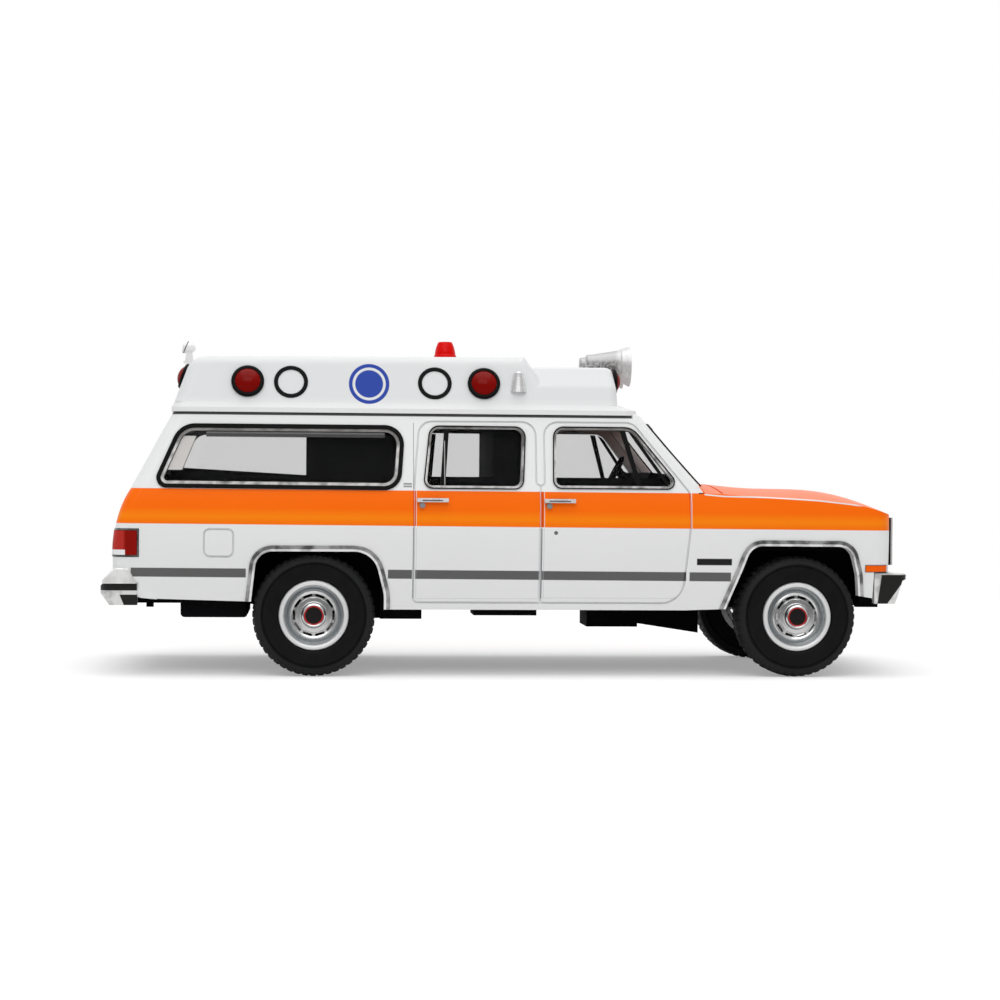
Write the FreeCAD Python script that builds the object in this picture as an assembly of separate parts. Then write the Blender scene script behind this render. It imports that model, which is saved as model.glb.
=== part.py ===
import FreeCAD, Part
import math
import os

from FreeCAD import Rotation, Vector

os.makedirs("parts", exist_ok=True)

# A small die-cast model of a raised-roof ambulance wagon, in millimetres.
# X runs forward, Y to the vehicle's left and Z up, from the ground at the middle of the model.

# Main sizes
wheelbase = 51.39
rear_overhang = 22.26
front_overhang = 12.05
rear_bumper_reach = 1.82
front_bumper_reach = 1.84
sill_height = 7.05
roof_height = 28.03
wall = 1.0
glass_thickness = 0.5
fit = 0.1
overrun = 3.0

# Half widths of the body, from the sill up to the roof
sill_half_width = 14.9
flank_half_width = 15.5
crest_half_width = 15.8
belt_half_width = 15.3
gutter_half_width = 13.0
roof_half_width = 12.6

# Levels of the body side between the sill and the roof
flank_share = 0.2073
crest_share = 0.4171
belt_share = 0.5982
cowl_share = 0.6411
gutter_drop = 0.28

# Corners in plan, how far the tail swells behind the rear end that the shares are measured from,
# and how far it leans forward at each level
tail_corner_radius = 1.5
nose_corner_radius = 2.2
pillar_radius = 0.8
least_radius = 0.15
nose_bulge = 0.3
screen_bulge = 1.4
tail_swell = 0.57
crest_lean = 0.3
belt_lean = 1.77
gutter_lean = 6.05
roof_lean = 6.41

# Engraved lines
groove_width = 0.22
groove_depth = 0.25

# Wheels and axles
tyre_radius = 6.45
tyre_width = 4.47
outer_half_track = 15.3
rim_radius = 3.68
axle_radius = 0.5
axle_play = 0.06
press_play = 0.02
wheel_gap = 0.6
wheel_side_gap = 0.45

# Base plate
plate_rise = 0.85
plate_thickness = 1.2

# Places that follow from these
overall_length = rear_overhang + wheelbase + front_overhang
rear_axle_x = rear_overhang - overall_length / 2
front_axle_x = rear_axle_x + wheelbase
body_rear_x = rear_bumper_reach - overall_length / 2
body_front_x = overall_length / 2 - front_bumper_reach
body_length = body_front_x - body_rear_x
tail_x = body_rear_x - tail_swell
body_height = roof_height - sill_height
reach = overall_length
plate_bottom = sill_height + plate_rise
plate_top = plate_bottom + plate_thickness
inner_half_track = outer_half_track - tyre_width
well_level = 2 * tyre_radius + wheel_gap
side_cut_y = crest_half_width / 2


def along(share):
    """The X of a place given as a share of the body's length."""
    return body_rear_x + share * body_length


def up(share):
    """The Z of a place given as a share of the body's height above the sill."""
    return sill_height + share * body_height


def spots(shares):
    """Side-view places from shares of the body's length and height."""
    return [(along(s), up(t)) for s, t in shares]


def side_plane(point):
    return Vector(point[0], 0, point[1])


def end_plane(point):
    return Vector(0, point[0], point[1])


def top_plane(point):
    return Vector(point[0], point[1], 0)


def rounded_wire(points, radii, plane):
    """A closed outline with each corner rounded by its own radius."""
    count = len(points)
    if not isinstance(radii, (list, tuple)):
        radii = [radii] * count
    places = [plane(point) for point in points]
    starts = []
    ends = []
    arcs = []
    for index in range(count):
        here = places[index]
        back = (places[index - 1] - here).normalize()
        ahead = (places[(index + 1) % count] - here).normalize()
        half = back.getAngle(ahead) / 2
        run = radii[index] / math.tan(half)
        middle = here + (back + ahead).normalize() * (radii[index] / math.sin(half) - radii[index])
        starts.append(here + back * run)
        ends.append(here + ahead * run)
        arcs.append(Part.Arc(starts[-1], middle, ends[-1]).toShape() if radii[index] > 0 else None)
    chain = []
    for index in range(count):
        if arcs[index]:
            chain.append(arcs[index])
        chain.append(Part.LineSegment(ends[index], starts[(index + 1) % count]).toShape())
    return Part.Wire(chain)


def polygon(points, plane):
    places = [plane(point) for point in points]
    return Part.makePolygon(places + places[:1])


def prism(wire, way):
    return Part.Face(wire).extrude(way)


def block(low, high):
    size = Vector(*high) - Vector(*low)
    return Part.makeBox(size.x, size.y, size.z, Vector(*low))


def mirrored(shape):
    return shape.mirror(Vector(), Vector(0, 1, 0))


def fused(shapes):
    return shapes[0].fuse(list(shapes[1:])).removeSplitter()


def both(shape):
    """The shape and its mirror image on the vehicle's other side."""
    return Part.Compound([shape, mirrored(shape)])


def save(name, shape):
    shape.exportStep("parts/" + name + ".step")


flank_level = up(flank_share)
crest_level = up(crest_share)
belt_level = up(belt_share)
cowl_level = up(cowl_share)
gutter_level = roof_height - gutter_drop


def slab(points, low_y, high_y):
    """A plate with a side-view outline, between two places across the vehicle."""
    plate = prism(polygon(points, side_plane), Vector(0, high_y - low_y, 0))
    plate.translate(Vector(0, low_y, 0))
    return plate


# Outer form of the body
# Where the windscreen stands at the belt, half way, at the gutter and at the roof
screen_shares = [0.755, 0.7122, 0.671, 0.667]
# Crown of the hood: place along the body, height of the fender crease and of the middle
crown_shares = [
    (0.745, 0.591, 0.638),
    (0.79, 0.588, 0.637),
    (0.877, 0.568, 0.618),
    (0.957, 0.541, 0.588),
    (0.986, 0.509, 0.546),
    (1.02, 0.450, 0.472),
]
hood_seat_share = 0.6


def plan_wire(rear_x, front_x, half, rear_radius, front_radius, bulge, level):
    """The body's outline seen from above at one level, its front edge slightly bowed."""
    rear_side = Vector(rear_x + rear_radius, half, level)
    rear_end = Vector(rear_x, half - rear_radius, level)
    front_side = Vector(front_x - front_radius, half, level)
    front_end = Vector(front_x, half - front_radius, level)
    near = 1 - math.sqrt(0.5)
    rear_bow = Vector(rear_x + near * rear_radius, half - near * rear_radius, level)
    front_bow = Vector(front_x - near * front_radius, half - near * front_radius, level)

    def over(point):
        return Vector(point.x, -point.y, point.z)

    edges = [
        Part.LineSegment(over(rear_end), rear_end),
        Part.Arc(rear_end, rear_bow, rear_side),
        Part.LineSegment(rear_side, front_side),
        Part.Arc(front_side, front_bow, front_end),
        Part.Arc(front_end, Vector(front_x + bulge, 0, level), over(front_end)),
        Part.Arc(over(front_end), over(front_bow), over(front_side)),
        Part.LineSegment(over(front_side), over(rear_side)),
        Part.Arc(over(rear_side), over(rear_bow), over(rear_end)),
    ]
    return Part.Wire([edge.toShape() for edge in edges])


def crown_tool(inset):
    """What is cut away above the hood: an arched surface that falls to the nose."""
    wires = []
    half = crest_half_width + wall
    widening = (half / belt_half_width) ** 2
    top = cowl_level + wall
    for s, crease, centre in crown_shares:
        x = along(s)
        middle = up(centre) - inset
        edge = middle - (up(centre) - up(crease)) * widening
        left = Vector(x, half, edge)
        right = Vector(x, -half, edge)
        left_top = Vector(x, half, top)
        right_top = Vector(x, -half, top)
        edges = [
            Part.Arc(right, Vector(x, 0, middle), left),
            Part.LineSegment(left, left_top),
            Part.LineSegment(left_top, right_top),
            Part.LineSegment(right_top, right),
        ]
        wires.append(Part.Wire([item.toShape() for item in edges]))
    return Part.makeLoft(wires, True, False)


def between(level, low, high, low_value, high_value):
    return low_value + (high_value - low_value) * (level - low) / (high - low)


forms = {}


def form(inset):
    """The solid form of the body, with each face moved inwards by the inset."""
    if inset in forms:
        return forms[inset]
    rear_radius = max(tail_corner_radius - inset, least_radius)
    nose_radius = max(nose_corner_radius - inset, least_radius)
    front_radius = max(pillar_radius - inset, least_radius)

    def lower_plan(level, lean, half):
        return plan_wire(tail_x + lean + inset, body_front_x - inset, half - inset,
                         rear_radius, nose_radius, nose_bulge, level)

    def cabin_plan(level, lean, half, share):
        return plan_wire(tail_x + lean + inset, along(share) - inset, half - inset,
                         rear_radius, front_radius, screen_bulge, level)

    skirt = [lower_plan(0, 0, sill_half_width), lower_plan(sill_height, 0, sill_half_width)]
    side = [
        lower_plan(sill_height, 0, sill_half_width),
        lower_plan(flank_level, 0, flank_half_width),
        lower_plan(crest_level, crest_lean, crest_half_width),
        lower_plan(belt_level, belt_lean, belt_half_width),
    ]
    middle = (belt_level + gutter_level) / 2
    cabin = [
        cabin_plan(belt_level, belt_lean, belt_half_width, screen_shares[0]),
        cabin_plan(middle, (belt_lean + gutter_lean) / 2, (belt_half_width + gutter_half_width) / 2,
                   screen_shares[1]),
        cabin_plan(gutter_level, gutter_lean, gutter_half_width, screen_shares[2]),
    ]
    roof = [
        cabin_plan(gutter_level, gutter_lean, gutter_half_width, screen_shares[2]),
        cabin_plan(roof_height, roof_lean, roof_half_width, screen_shares[3]),
    ]
    lower = fused([Part.makeLoft(skirt, True, True), Part.makeLoft(side, True, False)])
    cowl_top = cowl_level - inset
    if cowl_top > belt_level + groove_width:
        cowl_half = between(cowl_top, belt_level, gutter_level, belt_half_width, gutter_half_width)
        seat_lean = along(hood_seat_share) - tail_x
        cowl = [
            lower_plan(belt_level, seat_lean, belt_half_width),
            lower_plan(cowl_top, seat_lean, cowl_half),
        ]
        lower = fused([lower, Part.makeLoft(cowl, True, True)])
    upper = fused([Part.makeLoft(cabin, True, True), Part.makeLoft(roof, True, True)])
    if inset > 0:
        upper = upper.common(block((-reach, -reach, 0), (reach, reach, roof_height - inset)))
    forms[inset] = fused([lower.cut(crown_tool(inset)), upper])
    return forms[inset]


flanks = {}


def flank(inset):
    """The left side of the form alone, which is all that a tool on that side meets."""
    if inset not in flanks:
        flanks[inset] = form(inset).common(block((-reach, side_cut_y / 2, -overrun), (reach, reach, reach)))
    return flanks[inset]


def layer(tool, outward, inward):
    """The part of the tool that lies between two offsets of the body's skin."""
    near = flank if tool.BoundBox.YMin > side_cut_y / 2 else form
    return tool.common(near(-outward)).cut(near(inward))


def side_tool(wire):
    """A tool that reaches through the left side wall from outside."""
    tool = prism(wire, Vector(0, reach, 0))
    return tool.common(block((-reach, side_cut_y, 0), (reach, reach, reach)))


def ring(wire, outward, inward):
    """A band along the outline, from inward of it to outward of it."""
    outer = wire.makeOffset2D(outward, 2) if outward else wire
    inner = wire.makeOffset2D(-inward, 2) if inward else wire
    return side_tool(outer).cut(side_tool(inner))


# Side openings
quarter_shares = [(0.0552, 0.640), (0.0828, 0.8925), (0.3556, 0.8925), (0.3508, 0.635)]
quarter_radii = [0.35, 1.7, 1.3, 1.2]
rear_door_window_shares = [(0.3923, 0.6255), (0.4003, 0.9125), (0.5174, 0.911), (0.5136, 0.6245)]
rear_door_window_radii = [0.6, 0.8, 0.8, 0.7]
front_door_window_shares = [(0.5596, 0.6295), (0.5611, 0.913), (0.6587, 0.913), (0.7164, 0.6295)]
front_door_window_radii = [0.6, 0.8, 1.6, 0.5]
# Door outlines
rear_door_shares = [
    (0.3760, 0.038), (0.3765, 0.62), (0.3835, 0.948), (0.5340, 0.950), (0.5340, 0.640), (0.5395, 0.625),
    (0.5395, 0.038),
]
rear_door_radii = [0.5, 2.0, 1.5, 1.5, 0.2, 0.2, 0.3]
front_door_shares = [
    (0.5400, 0.038), (0.5400, 0.625), (0.5450, 0.640), (0.5450, 0.950), (0.6610, 0.950), (0.7335, 0.595),
    (0.7342, 0.43), (0.7240, 0.038),
]
front_door_radii = [0.3, 0.2, 0.2, 1.5, 1.5, 1.2, 8.0, 2.4]
# Gap between the hood and the cowl
hood_gap_share = 0.7768
hood_gap_half_share = 0.975
filler_shares = [(0.1095, 0.264), (0.1095, 0.400), (0.1463, 0.400), (0.1463, 0.264)]
filler_radius = 0.6
# Wheel arches, as shares of the tyre radius from the axle and from the ground
rear_arch_shares = [(-1.02, 0.6), (-1.02, 1.2), (-0.925, 2.04), (0.96, 2.045), (1.14, 1.35), (1.14, 0.6)]
rear_arch_radii = [0.0, 4.0, 1.8, 2.6, 4.0, 0.0]
front_arch_shares = [(-1.225, 0.6), (-1.225, 1.05), (-0.95, 1.72), (-0.78, 2.17), (0.86, 2.165),
                     (0.985, 1.7), (1.05, 1.0), (1.05, 0.6)]
front_arch_radii = [0.0, 1.0, 3.0, 1.7, 1.6, 2.5, 4.0, 0.0]
# Underside of the side walls
sill_shares = [
    (-0.02, 0.132), (0.0265, 0.132), (0.030, 0.061), (0.0505, 0.051), (0.166, 0.039), (0.34, 0.001),
    (0.73, 0.002), (0.86, 0.02), (0.955, 0.080), (0.975, 0.067), (0.976, 0.200), (1.02, 0.200),
]
# Openings in the windscreen and the rear doors
screen_opening_shares = [(-0.905, 0.655), (-0.80, 0.925), (0.80, 0.925), (0.905, 0.655)]
screen_opening_radius = 0.9
rear_window_shares = [(0.11, 0.645), (0.11, 0.885), (0.72, 0.885), (0.78, 0.645)]
rear_window_radius = 0.8
rear_door_gap_shares = [(0.0, 0.14), (0.0, 0.94), (0.80, 0.94), (0.885, 0.60), (0.885, 0.14)]
rear_door_gap_radius = 0.6


def window_wire(shares, radii, grow):
    """The outline of a side opening, with its corners rounded."""
    wire = rounded_wire(spots(shares), radii, side_plane)
    return wire.makeOffset2D(grow, 0) if grow else wire


def arch_wire(axle_x, shares, radii):
    points = [(axle_x + s * tyre_radius, t * tyre_radius) for s, t in shares]
    return rounded_wire(points, radii, side_plane)


def across(shares):
    """Places seen from the end, as shares of the belt's half width and the body's height."""
    return [(s * belt_half_width, up(t)) for s, t in shares]


side_windows = [
    (quarter_shares, quarter_radii),
    (rear_door_window_shares, rear_door_window_radii),
    (front_door_window_shares, front_door_window_radii),
]
arches = [
    arch_wire(rear_axle_x, rear_arch_shares, rear_arch_radii),
    arch_wire(front_axle_x, front_arch_shares, front_arch_radii),
]
middle_x = along(0.4)


def end_tool(shares, radius, forward, grow=0):
    """A tool that reaches through the windscreen or through the rear doors."""
    wire = rounded_wire(across(shares), radius, end_plane)
    if grow:
        wire = wire.makeOffset2D(grow, 0)
    tool = prism(wire, Vector(reach if forward else -reach, 0, 0))
    tool.translate(Vector(middle_x, 0, 0))
    return tool


def sill_tool():
    points = spots(sill_shares)
    points = points + [(points[-1][0] + wall, -overrun), (points[0][0] - wall, -overrun)]
    return slab(points, -reach, reach)


# Front lamps and grille
grille_half_share = 0.855
grille_low_share = 0.229
grille_high_share = 0.482
grille_stand = 0.6
grille_depth = 0.6
lamp_edge_share = 0.53
frame_width = 0.4
bar_count = 6
bar_thickness = 0.28
grille_half = grille_half_share * belt_half_width
grille_low = up(grille_low_share)
grille_high = up(grille_high_share)
lamp_edge = lamp_edge_share * belt_half_width
grille_back_x = body_front_x - grille_depth
grille_front_x = body_front_x + grille_stand

# Tail lamps and side markers
tail_lamp_shares = [(-0.01, 0.259), (-0.01, 0.402), (0.0275, 0.402), (0.0275, 0.259)]
tail_lamp_depth = 0.55
tail_lamp_stand = 0.08
tail_bezel = 0.18
tail_lamp_inner_share = 0.86
marker_shares = [(0.9642, 0.201), (0.9642, 0.236), (0.9944, 0.236), (0.9944, 0.201)]
marker_depth = 0.35
marker_stand = 0.1


def tail_lamp_tool(shrink):
    """A corner block that holds the tail lamp, open to the tail and to the side."""
    low = up(tail_lamp_shares[0][1]) + shrink
    high = up(tail_lamp_shares[1][1]) - shrink
    x = along(tail_lamp_shares[2][0]) - shrink
    y = tail_lamp_inner_share * belt_half_width + shrink
    return block((body_rear_x - wall, y, low), (x, reach, high))


def make_body():
    shell = form(0).cut(form(wall)).cut(sill_tool())
    side_cuts = [side_tool(wire) for wire in arches]
    for shares, radii in side_windows:
        side_cuts.append(side_tool(window_wire(shares, radii, 0)))
    for shares, radii in ((rear_door_shares, rear_door_radii), (front_door_shares, front_door_radii)):
        wire = rounded_wire(spots(shares), radii, side_plane)
        side_cuts.append(layer(ring(wire, groove_width / 2, groove_width / 2), wall, groove_depth))
    filler = rounded_wire(spots(filler_shares), filler_radius, side_plane)
    side_cuts.append(layer(ring(filler, groove_width / 2, groove_width / 2), wall, groove_depth))
    side_cuts.append(layer(tail_lamp_tool(0), wall, tail_lamp_depth))
    side_cuts.append(layer(side_tool(polygon(spots(marker_shares), side_plane)), wall, marker_depth))
    tools = side_cuts + [mirrored(cut) for cut in side_cuts]
    tools.append(end_tool(screen_opening_shares, screen_opening_radius, True))
    rear_window = end_tool(rear_window_shares, rear_window_radius, False)
    gap = rounded_wire(across(rear_door_gap_shares), rear_door_gap_radius, end_plane)
    band = prism(gap.makeOffset2D(groove_width / 2, 2), Vector(-reach, 0, 0)).cut(
        prism(gap.makeOffset2D(-groove_width / 2, 2), Vector(-reach, 0, 0)))
    band = layer(band, wall, groove_depth)
    tools += [rear_window, mirrored(rear_window), band, mirrored(band)]
    tools.append(block((grille_back_x, -grille_half, grille_low), (reach, grille_half, grille_high)))
    gap_x = along(hood_gap_share)
    gap_half = hood_gap_half_share * belt_half_width
    hood_gap = block((gap_x - groove_width / 2, -gap_half, crest_level),
                     (gap_x + groove_width / 2, gap_half, reach))
    tools.append(layer(hood_gap, wall, groove_depth))
    return shell.cut(tools)


# Bright trims round the wheel arches: a flat band with a raised bead along its inner edge
arch_trim_width = 0.62
arch_trim_height = 0.14
arch_bead_width = 0.24
arch_bead_height = 0.27


def make_arch_trims():
    trims = []
    for wire in arches:
        band = layer(ring(wire, arch_trim_width, 0), arch_trim_height, 0)
        bead = layer(ring(wire, arch_bead_width, 0), arch_bead_height, 0)
        trims.append(both(fused([band, bead]).cut(sill_tool())))
    return Part.Compound(trims)


# Glazing: one clear moulding that lines the cabin, with a pane raised into each opening
glass_inset = wall + fit
glass_foot = 0.9
pane_sink = 0.2
pane_gap = 0.08


def make_glazing():
    inner = glass_inset + glass_thickness
    level = block((-reach, -reach, belt_level - glass_foot), (reach, reach, roof_height - wall - fit))
    band = form(glass_inset).cut(form(inner)).common(level)
    front = block((-reach, -reach, 0), (along(screen_shares[0]) - wall, reach, reach))
    band = band.common(front)
    panes = []
    for shares, radii in side_windows:
        pane = layer(side_tool(window_wire(shares, radii, -pane_gap)), -pane_sink, glass_inset + fit)
        panes += [pane, mirrored(pane)]
    screen = end_tool(screen_opening_shares, screen_opening_radius, True, -pane_gap)
    panes.append(layer(screen, -pane_sink, glass_inset + fit))
    rear = end_tool(rear_window_shares, rear_window_radius, False, -pane_gap)
    rear = layer(rear, -pane_sink, glass_inset + fit)
    panes += [rear, mirrored(rear)]
    return fused([band] + panes)


# Window frames: a bright trim round each opening with a black gasket outside it, wide round the long
# rear side window and the windscreen and thin round the doors' windows, and black divider bars
trim_width = 0.3
trim_height = 0.1
door_trim_width = 0.23
gasket_width = 0.45
gasket_height = 0.16
door_gasket_width = 0.12
screen_gasket_width = 0.5
screen_gasket_height = 0.22
rear_divider_shares = [(0.4095, 0.59), (0.4158, 0.59), (0.4223, 0.94), (0.4159, 0.94)]
vent_divider_shares = [(0.6679, 0.59), (0.6733, 0.59), (0.6488, 0.94), (0.6416, 0.94)]
pillar_divider_shares = [(0.7107, 0.59), (0.7159, 0.59), (0.6539, 0.94), (0.6488, 0.94)]
# Each side window with the widths of its trim and its gasket
framed_windows = [
    (side_windows[0], trim_width, gasket_width),
    (side_windows[1], door_trim_width, door_gasket_width),
    (side_windows[2], door_trim_width, door_gasket_width),
]


def make_window_trims():
    rings = []
    for (shares, radii), width, _ in framed_windows:
        band = side_tool(window_wire(shares, radii, width)).cut(side_tool(window_wire(shares, radii, 0)))
        rings.append(both(layer(band, trim_height, 0)))
    return Part.Compound(rings)


def make_window_gaskets():
    pieces = []
    for (shares, radii), width, rubber in framed_windows:
        grown = window_wire(shares, radii, width + rubber)
        band = side_tool(grown).cut(side_tool(window_wire(shares, radii, width)))
        pieces.append(layer(band, gasket_height, 0))
    bars = [(side_windows[1], rear_divider_shares), (side_windows[2], vent_divider_shares),
            (side_windows[2], pillar_divider_shares)]
    for (shares, radii), outline in bars:
        opening = side_tool(window_wire(shares, radii, -pane_gap))
        bar = opening.common(side_tool(polygon(spots(outline), side_plane)))
        pieces.append(layer(bar, trim_height, pane_sink - pane_gap))
    opening = end_tool(screen_opening_shares, screen_opening_radius, True)
    grown = end_tool(screen_opening_shares, screen_opening_radius, True, screen_gasket_width)
    screen = layer(grown.cut(opening), screen_gasket_height, 0)
    return Part.Compound([both(piece) for piece in pieces] + [screen])


# Roof box: a moulding with a high hall behind and a low nose in front, on a sloping apron whose lip
# laps over the edge of the roof
lip_drop = 0.25
lip_edge = 0.5
apron_rise = 0.82
apron_slope = 0.32
apron_front_slope = 1.9
lip_overhang = 0.62
roof_lip_shares = (0.0645, 0.6682)
lip_corner = 1.6
box_overhang = 0.3
box_side_lean = 1.65
hall_front_height = 5.15
hall_rear_height = 4.85
hall_low_shares = (0.0684, 0.5625)
hall_high_shares = (0.0905, 0.5225)
nose_shares = (0.45, 0.6430, 0.6412)
nose_height = 4.2
nose_shoulder_height = 2.05
nose_half_top = 9.2
hall_rounding = 1.2
tail_rounding = 2.2
nose_rounding = 0.9
roof_lip_half = roof_half_width + lip_overhang
box_half_low = roof_half_width + box_overhang
box_half_high = box_half_low - box_side_lean
box_base = roof_height + apron_rise
box_top_front = box_base + hall_front_height
box_top_rear = box_base + hall_rear_height
nose_shoulder_level = box_base + nose_shoulder_height
nose_top_level = box_base + nose_height


def rectangle(low_x, high_x, half, level):
    points = [(low_x, -half), (high_x, -half), (high_x, half), (low_x, half)]
    wire = polygon(points, top_plane)
    wire.translate(Vector(0, 0, level))
    return wire


def apron_wire(inset, front_inset, level):
    """The outline of the apron at one level, its corners rounded."""
    low, high = [along(s) for s in roof_lip_shares]
    half = roof_lip_half - inset
    low += inset
    high -= front_inset
    points = [(low, -half), (high, -half), (high, half), (low, half)]
    wire = rounded_wire(points, lip_corner - inset, top_plane)
    wire.translate(Vector(0, 0, level))
    return wire


def make_roof_box():
    lip_low = roof_height - lip_drop
    edge_level = lip_low + lip_edge
    rim = apron_wire(0, 0, edge_level)
    apron = fused([
        Part.makeLoft([apron_wire(0, 0, lip_low), rim], True, True),
        Part.makeLoft([rim, apron_wire(apron_slope, apron_front_slope, box_base)], True, True),
    ]).cut(form(0))
    hall_front = along(hall_high_shares[1])
    hall = Part.makeLoft([
        rectangle(along(hall_low_shares[0]), along(hall_low_shares[1]), box_half_low, box_base),
        rectangle(along(hall_high_shares[0]), hall_front, box_half_high, box_top_front),
    ], True, True)
    slope = [(along(0), box_top_rear), (hall_front, box_top_front), (hall_front, box_top_front + wall),
             (along(0), box_top_front + wall)]
    hall = hall.cut(slab(slope, -reach, reach))
    rear_top = [edge for edge in hall.Edges if edge.BoundBox.ZMin > box_base + wall
                and edge.BoundBox.XMax < along(hall_low_shares[0]) + 2 * tail_rounding]
    hall = hall.makeFillet(tail_rounding, rear_top)
    upper = [edge for edge in hall.Edges if edge.BoundBox.ZMax > box_base + wall
             and edge.BoundBox.YLength < box_half_high]
    hall = hall.makeFillet(hall_rounding, upper)
    rear, foot, head = [along(s) for s in nose_shares]
    waist = between(nose_shoulder_level, box_base, nose_top_level, foot, head)
    nose_half_shoulder = between(nose_shoulder_level, box_base, box_top_front, box_half_low, box_half_high)
    shoulder = rectangle(rear, waist, nose_half_shoulder, nose_shoulder_level)
    nose = fused([
        Part.makeLoft([rectangle(rear, foot, box_half_low, box_base), shoulder], True, True),
        Part.makeLoft([shoulder, rectangle(rear, head, nose_half_top, nose_top_level)], True, True),
    ])
    soft = [edge for edge in nose.Edges
            if edge.BoundBox.ZMax > box_base + wall and edge.BoundBox.XMax > rear + wall]
    nose = nose.makeFillet(nose_rounding, soft)
    return fused([apron, hall, nose])


def side_spot(x, level):
    """A place on the left side of the roof hall and the way that the side faces there."""
    y = between(level, box_base, box_top_front, box_half_low, box_half_high)
    normal = Vector(0, box_top_front - box_base, box_half_low - box_half_high).normalize()
    return Vector(x, y, level), normal


def rear_spot(y, level):
    foot, head = along(hall_low_shares[0]), along(hall_high_shares[0])
    x = between(level, box_base, box_top_front, foot, head)
    return Vector(x, y, level), Vector(box_base - box_top_front, 0, head - foot).normalize()


def front_spot(y, level):
    foot, head = along(nose_shares[1]), along(nose_shares[2])
    x = between(level, box_base, nose_top_level, foot, head)
    return Vector(x, y, level), Vector(nose_top_level - box_base, 0, foot - head).normalize()


def top_spot(x, y):
    hall_front = along(hall_high_shares[1])
    level = between(x, along(0), hall_front, box_top_rear, box_top_front)
    normal = Vector(box_top_rear - box_top_front, 0, hall_front - along(0)).normalize()
    return Vector(x, y, level), normal


def seated(shape, spot):
    """A copy of a shape modelled upright, set on a surface at a place and its normal."""
    placed = shape.copy()
    placed.Placement = FreeCAD.Placement(spot[0], Rotation(Vector(0, 0, 1), spot[1]))
    return placed


def turned(points):
    """A solid of revolution about Z from an outline of radius and height."""
    wire = polygon(points, lambda point: Vector(point[0], 0, point[1]))
    return Part.Face(wire).revolve(Vector(), Vector(0, 0, 1), 360)


def scaled(shares, radius, height):
    """Outline points from shares of a radius and a height."""
    return [(s * radius, t * height) for s, t in shares]


# Warning lamps in their bezels, and the round side lights between them
lamp_radius = 1.34
end_lamp_radius = 1.12
lamp_play = 0.03
bezel_width = 0.36
end_bezel_width = 0.25
bezel_height = 0.42
bezel_chamfer = 0.14
lamp_wall_height = 0.36
lamp_dome = 0.5
warning_lift = 2.17
warning_shares = (0.1622, 0.4676)
end_lamp_lift = 2.75
end_lamp_half = 8.4
ring_shares = (0.2178, 0.4038)
ring_inner_radius = 1.37
ring_width = 0.43
ring_height = 0.08
warning_level = box_base + warning_lift
end_lamp_level = box_base + end_lamp_lift


def lamp_spots():
    """Where each warning lamp of one side stands, with the radius and the bezel's width."""
    places = [(side_spot(along(s), warning_level), lamp_radius, bezel_width) for s in warning_shares]
    for spot in (front_spot(end_lamp_half, end_lamp_level), rear_spot(end_lamp_half, end_lamp_level)):
        places.append((spot, end_lamp_radius, end_bezel_width))
    return places


def make_lamp_bezels():
    bezels = []
    for spot, radius, width in lamp_spots():
        inner = radius + lamp_play
        outer = inner + width
        shape = turned([(inner, 0), (outer, 0), (outer, bezel_height - bezel_chamfer),
                        (outer - bezel_chamfer, bezel_height), (inner, bezel_height)])
        bezels.append(both(seated(shape, spot)))
    return Part.Compound(bezels)


def make_lamp_lenses():
    lenses = []
    height = lamp_wall_height + lamp_dome
    for spot, radius, _ in lamp_spots():
        sphere_radius = (radius ** 2 + lamp_dome ** 2) / (2 * lamp_dome)
        dome = Part.makeSphere(sphere_radius, Vector(0, 0, height - sphere_radius))
        lenses.append(both(seated(Part.makeCylinder(radius, height).common(dome), spot)))
    return Part.Compound(lenses)


def make_lamp_rings():
    shape = Part.makeCylinder(ring_inner_radius + ring_width, ring_height)
    shape = shape.cut(Part.makeCylinder(ring_inner_radius, ring_height))
    return Part.Compound([both(seated(shape, side_spot(along(s), warning_level))) for s in ring_shares])


# Beacon: a rounded cone on a flange
beacon_share = 0.4251
beacon_radius = 1.25
beacon_height = 2.2
beacon_shares = [
    (0.0, 0.0), (1.0, 0.0), (1.0, 0.29), (0.93, 0.35), (0.90, 0.5), (0.81, 0.72), (0.69, 0.9), (0.61, 0.98),
    (0.52, 1.0), (0.0, 1.0),
]


def make_beacon():
    shape = turned(scaled(beacon_shares, beacon_radius, beacon_height))
    return seated(shape, top_spot(along(beacon_share), 0))


# Siren horns: place along the body, then radius and centre height as shares of the mouth's radius
horn_half_spacing = 3.05
horn_mouth_radius = 2.23
horn_shares = [
    (0.6135, 0.323, 0.381),
    (0.6153, 0.381, 0.381),
    (0.6220, 0.395, 0.381),
    (0.6488, 0.561, 0.381),
    (0.6592, 0.690, 0.330),
    (0.6610, 0.840, 0.235),
    (0.6726, 1.0, 0.190),
]
horn_throat = 3
horn_wall = 0.3
horn_foot_width = 1.0


def horn_centre(index):
    share, _, lift = horn_shares[index]
    return Vector(along(share), 0, nose_top_level + lift * horn_mouth_radius)


def horn_form(shrink, first):
    """The flaring form of a horn from one of its stations to the mouth."""
    wires = []
    for index in range(first, len(horn_shares)):
        radius = horn_shares[index][1] * horn_mouth_radius - shrink
        wires.append(Part.Wire(Part.makeCircle(radius, horn_centre(index), Vector(1, 0, 0))))
    return Part.makeLoft(wires, True, True)


def make_siren_horns(roof):
    bell = horn_form(0, 0).cut(horn_form(horn_wall, horn_throat))
    foot_low = (along(horn_shares[1][0]), -horn_foot_width / 2, nose_top_level)
    foot_high = (along(horn_shares[horn_throat][0]), horn_foot_width / 2, horn_centre(1).z)
    horn = fused([bell, block(foot_low, foot_high)])
    horn.translate(Vector(0, horn_half_spacing, 0))
    return both(horn.cut(roof))


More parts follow.
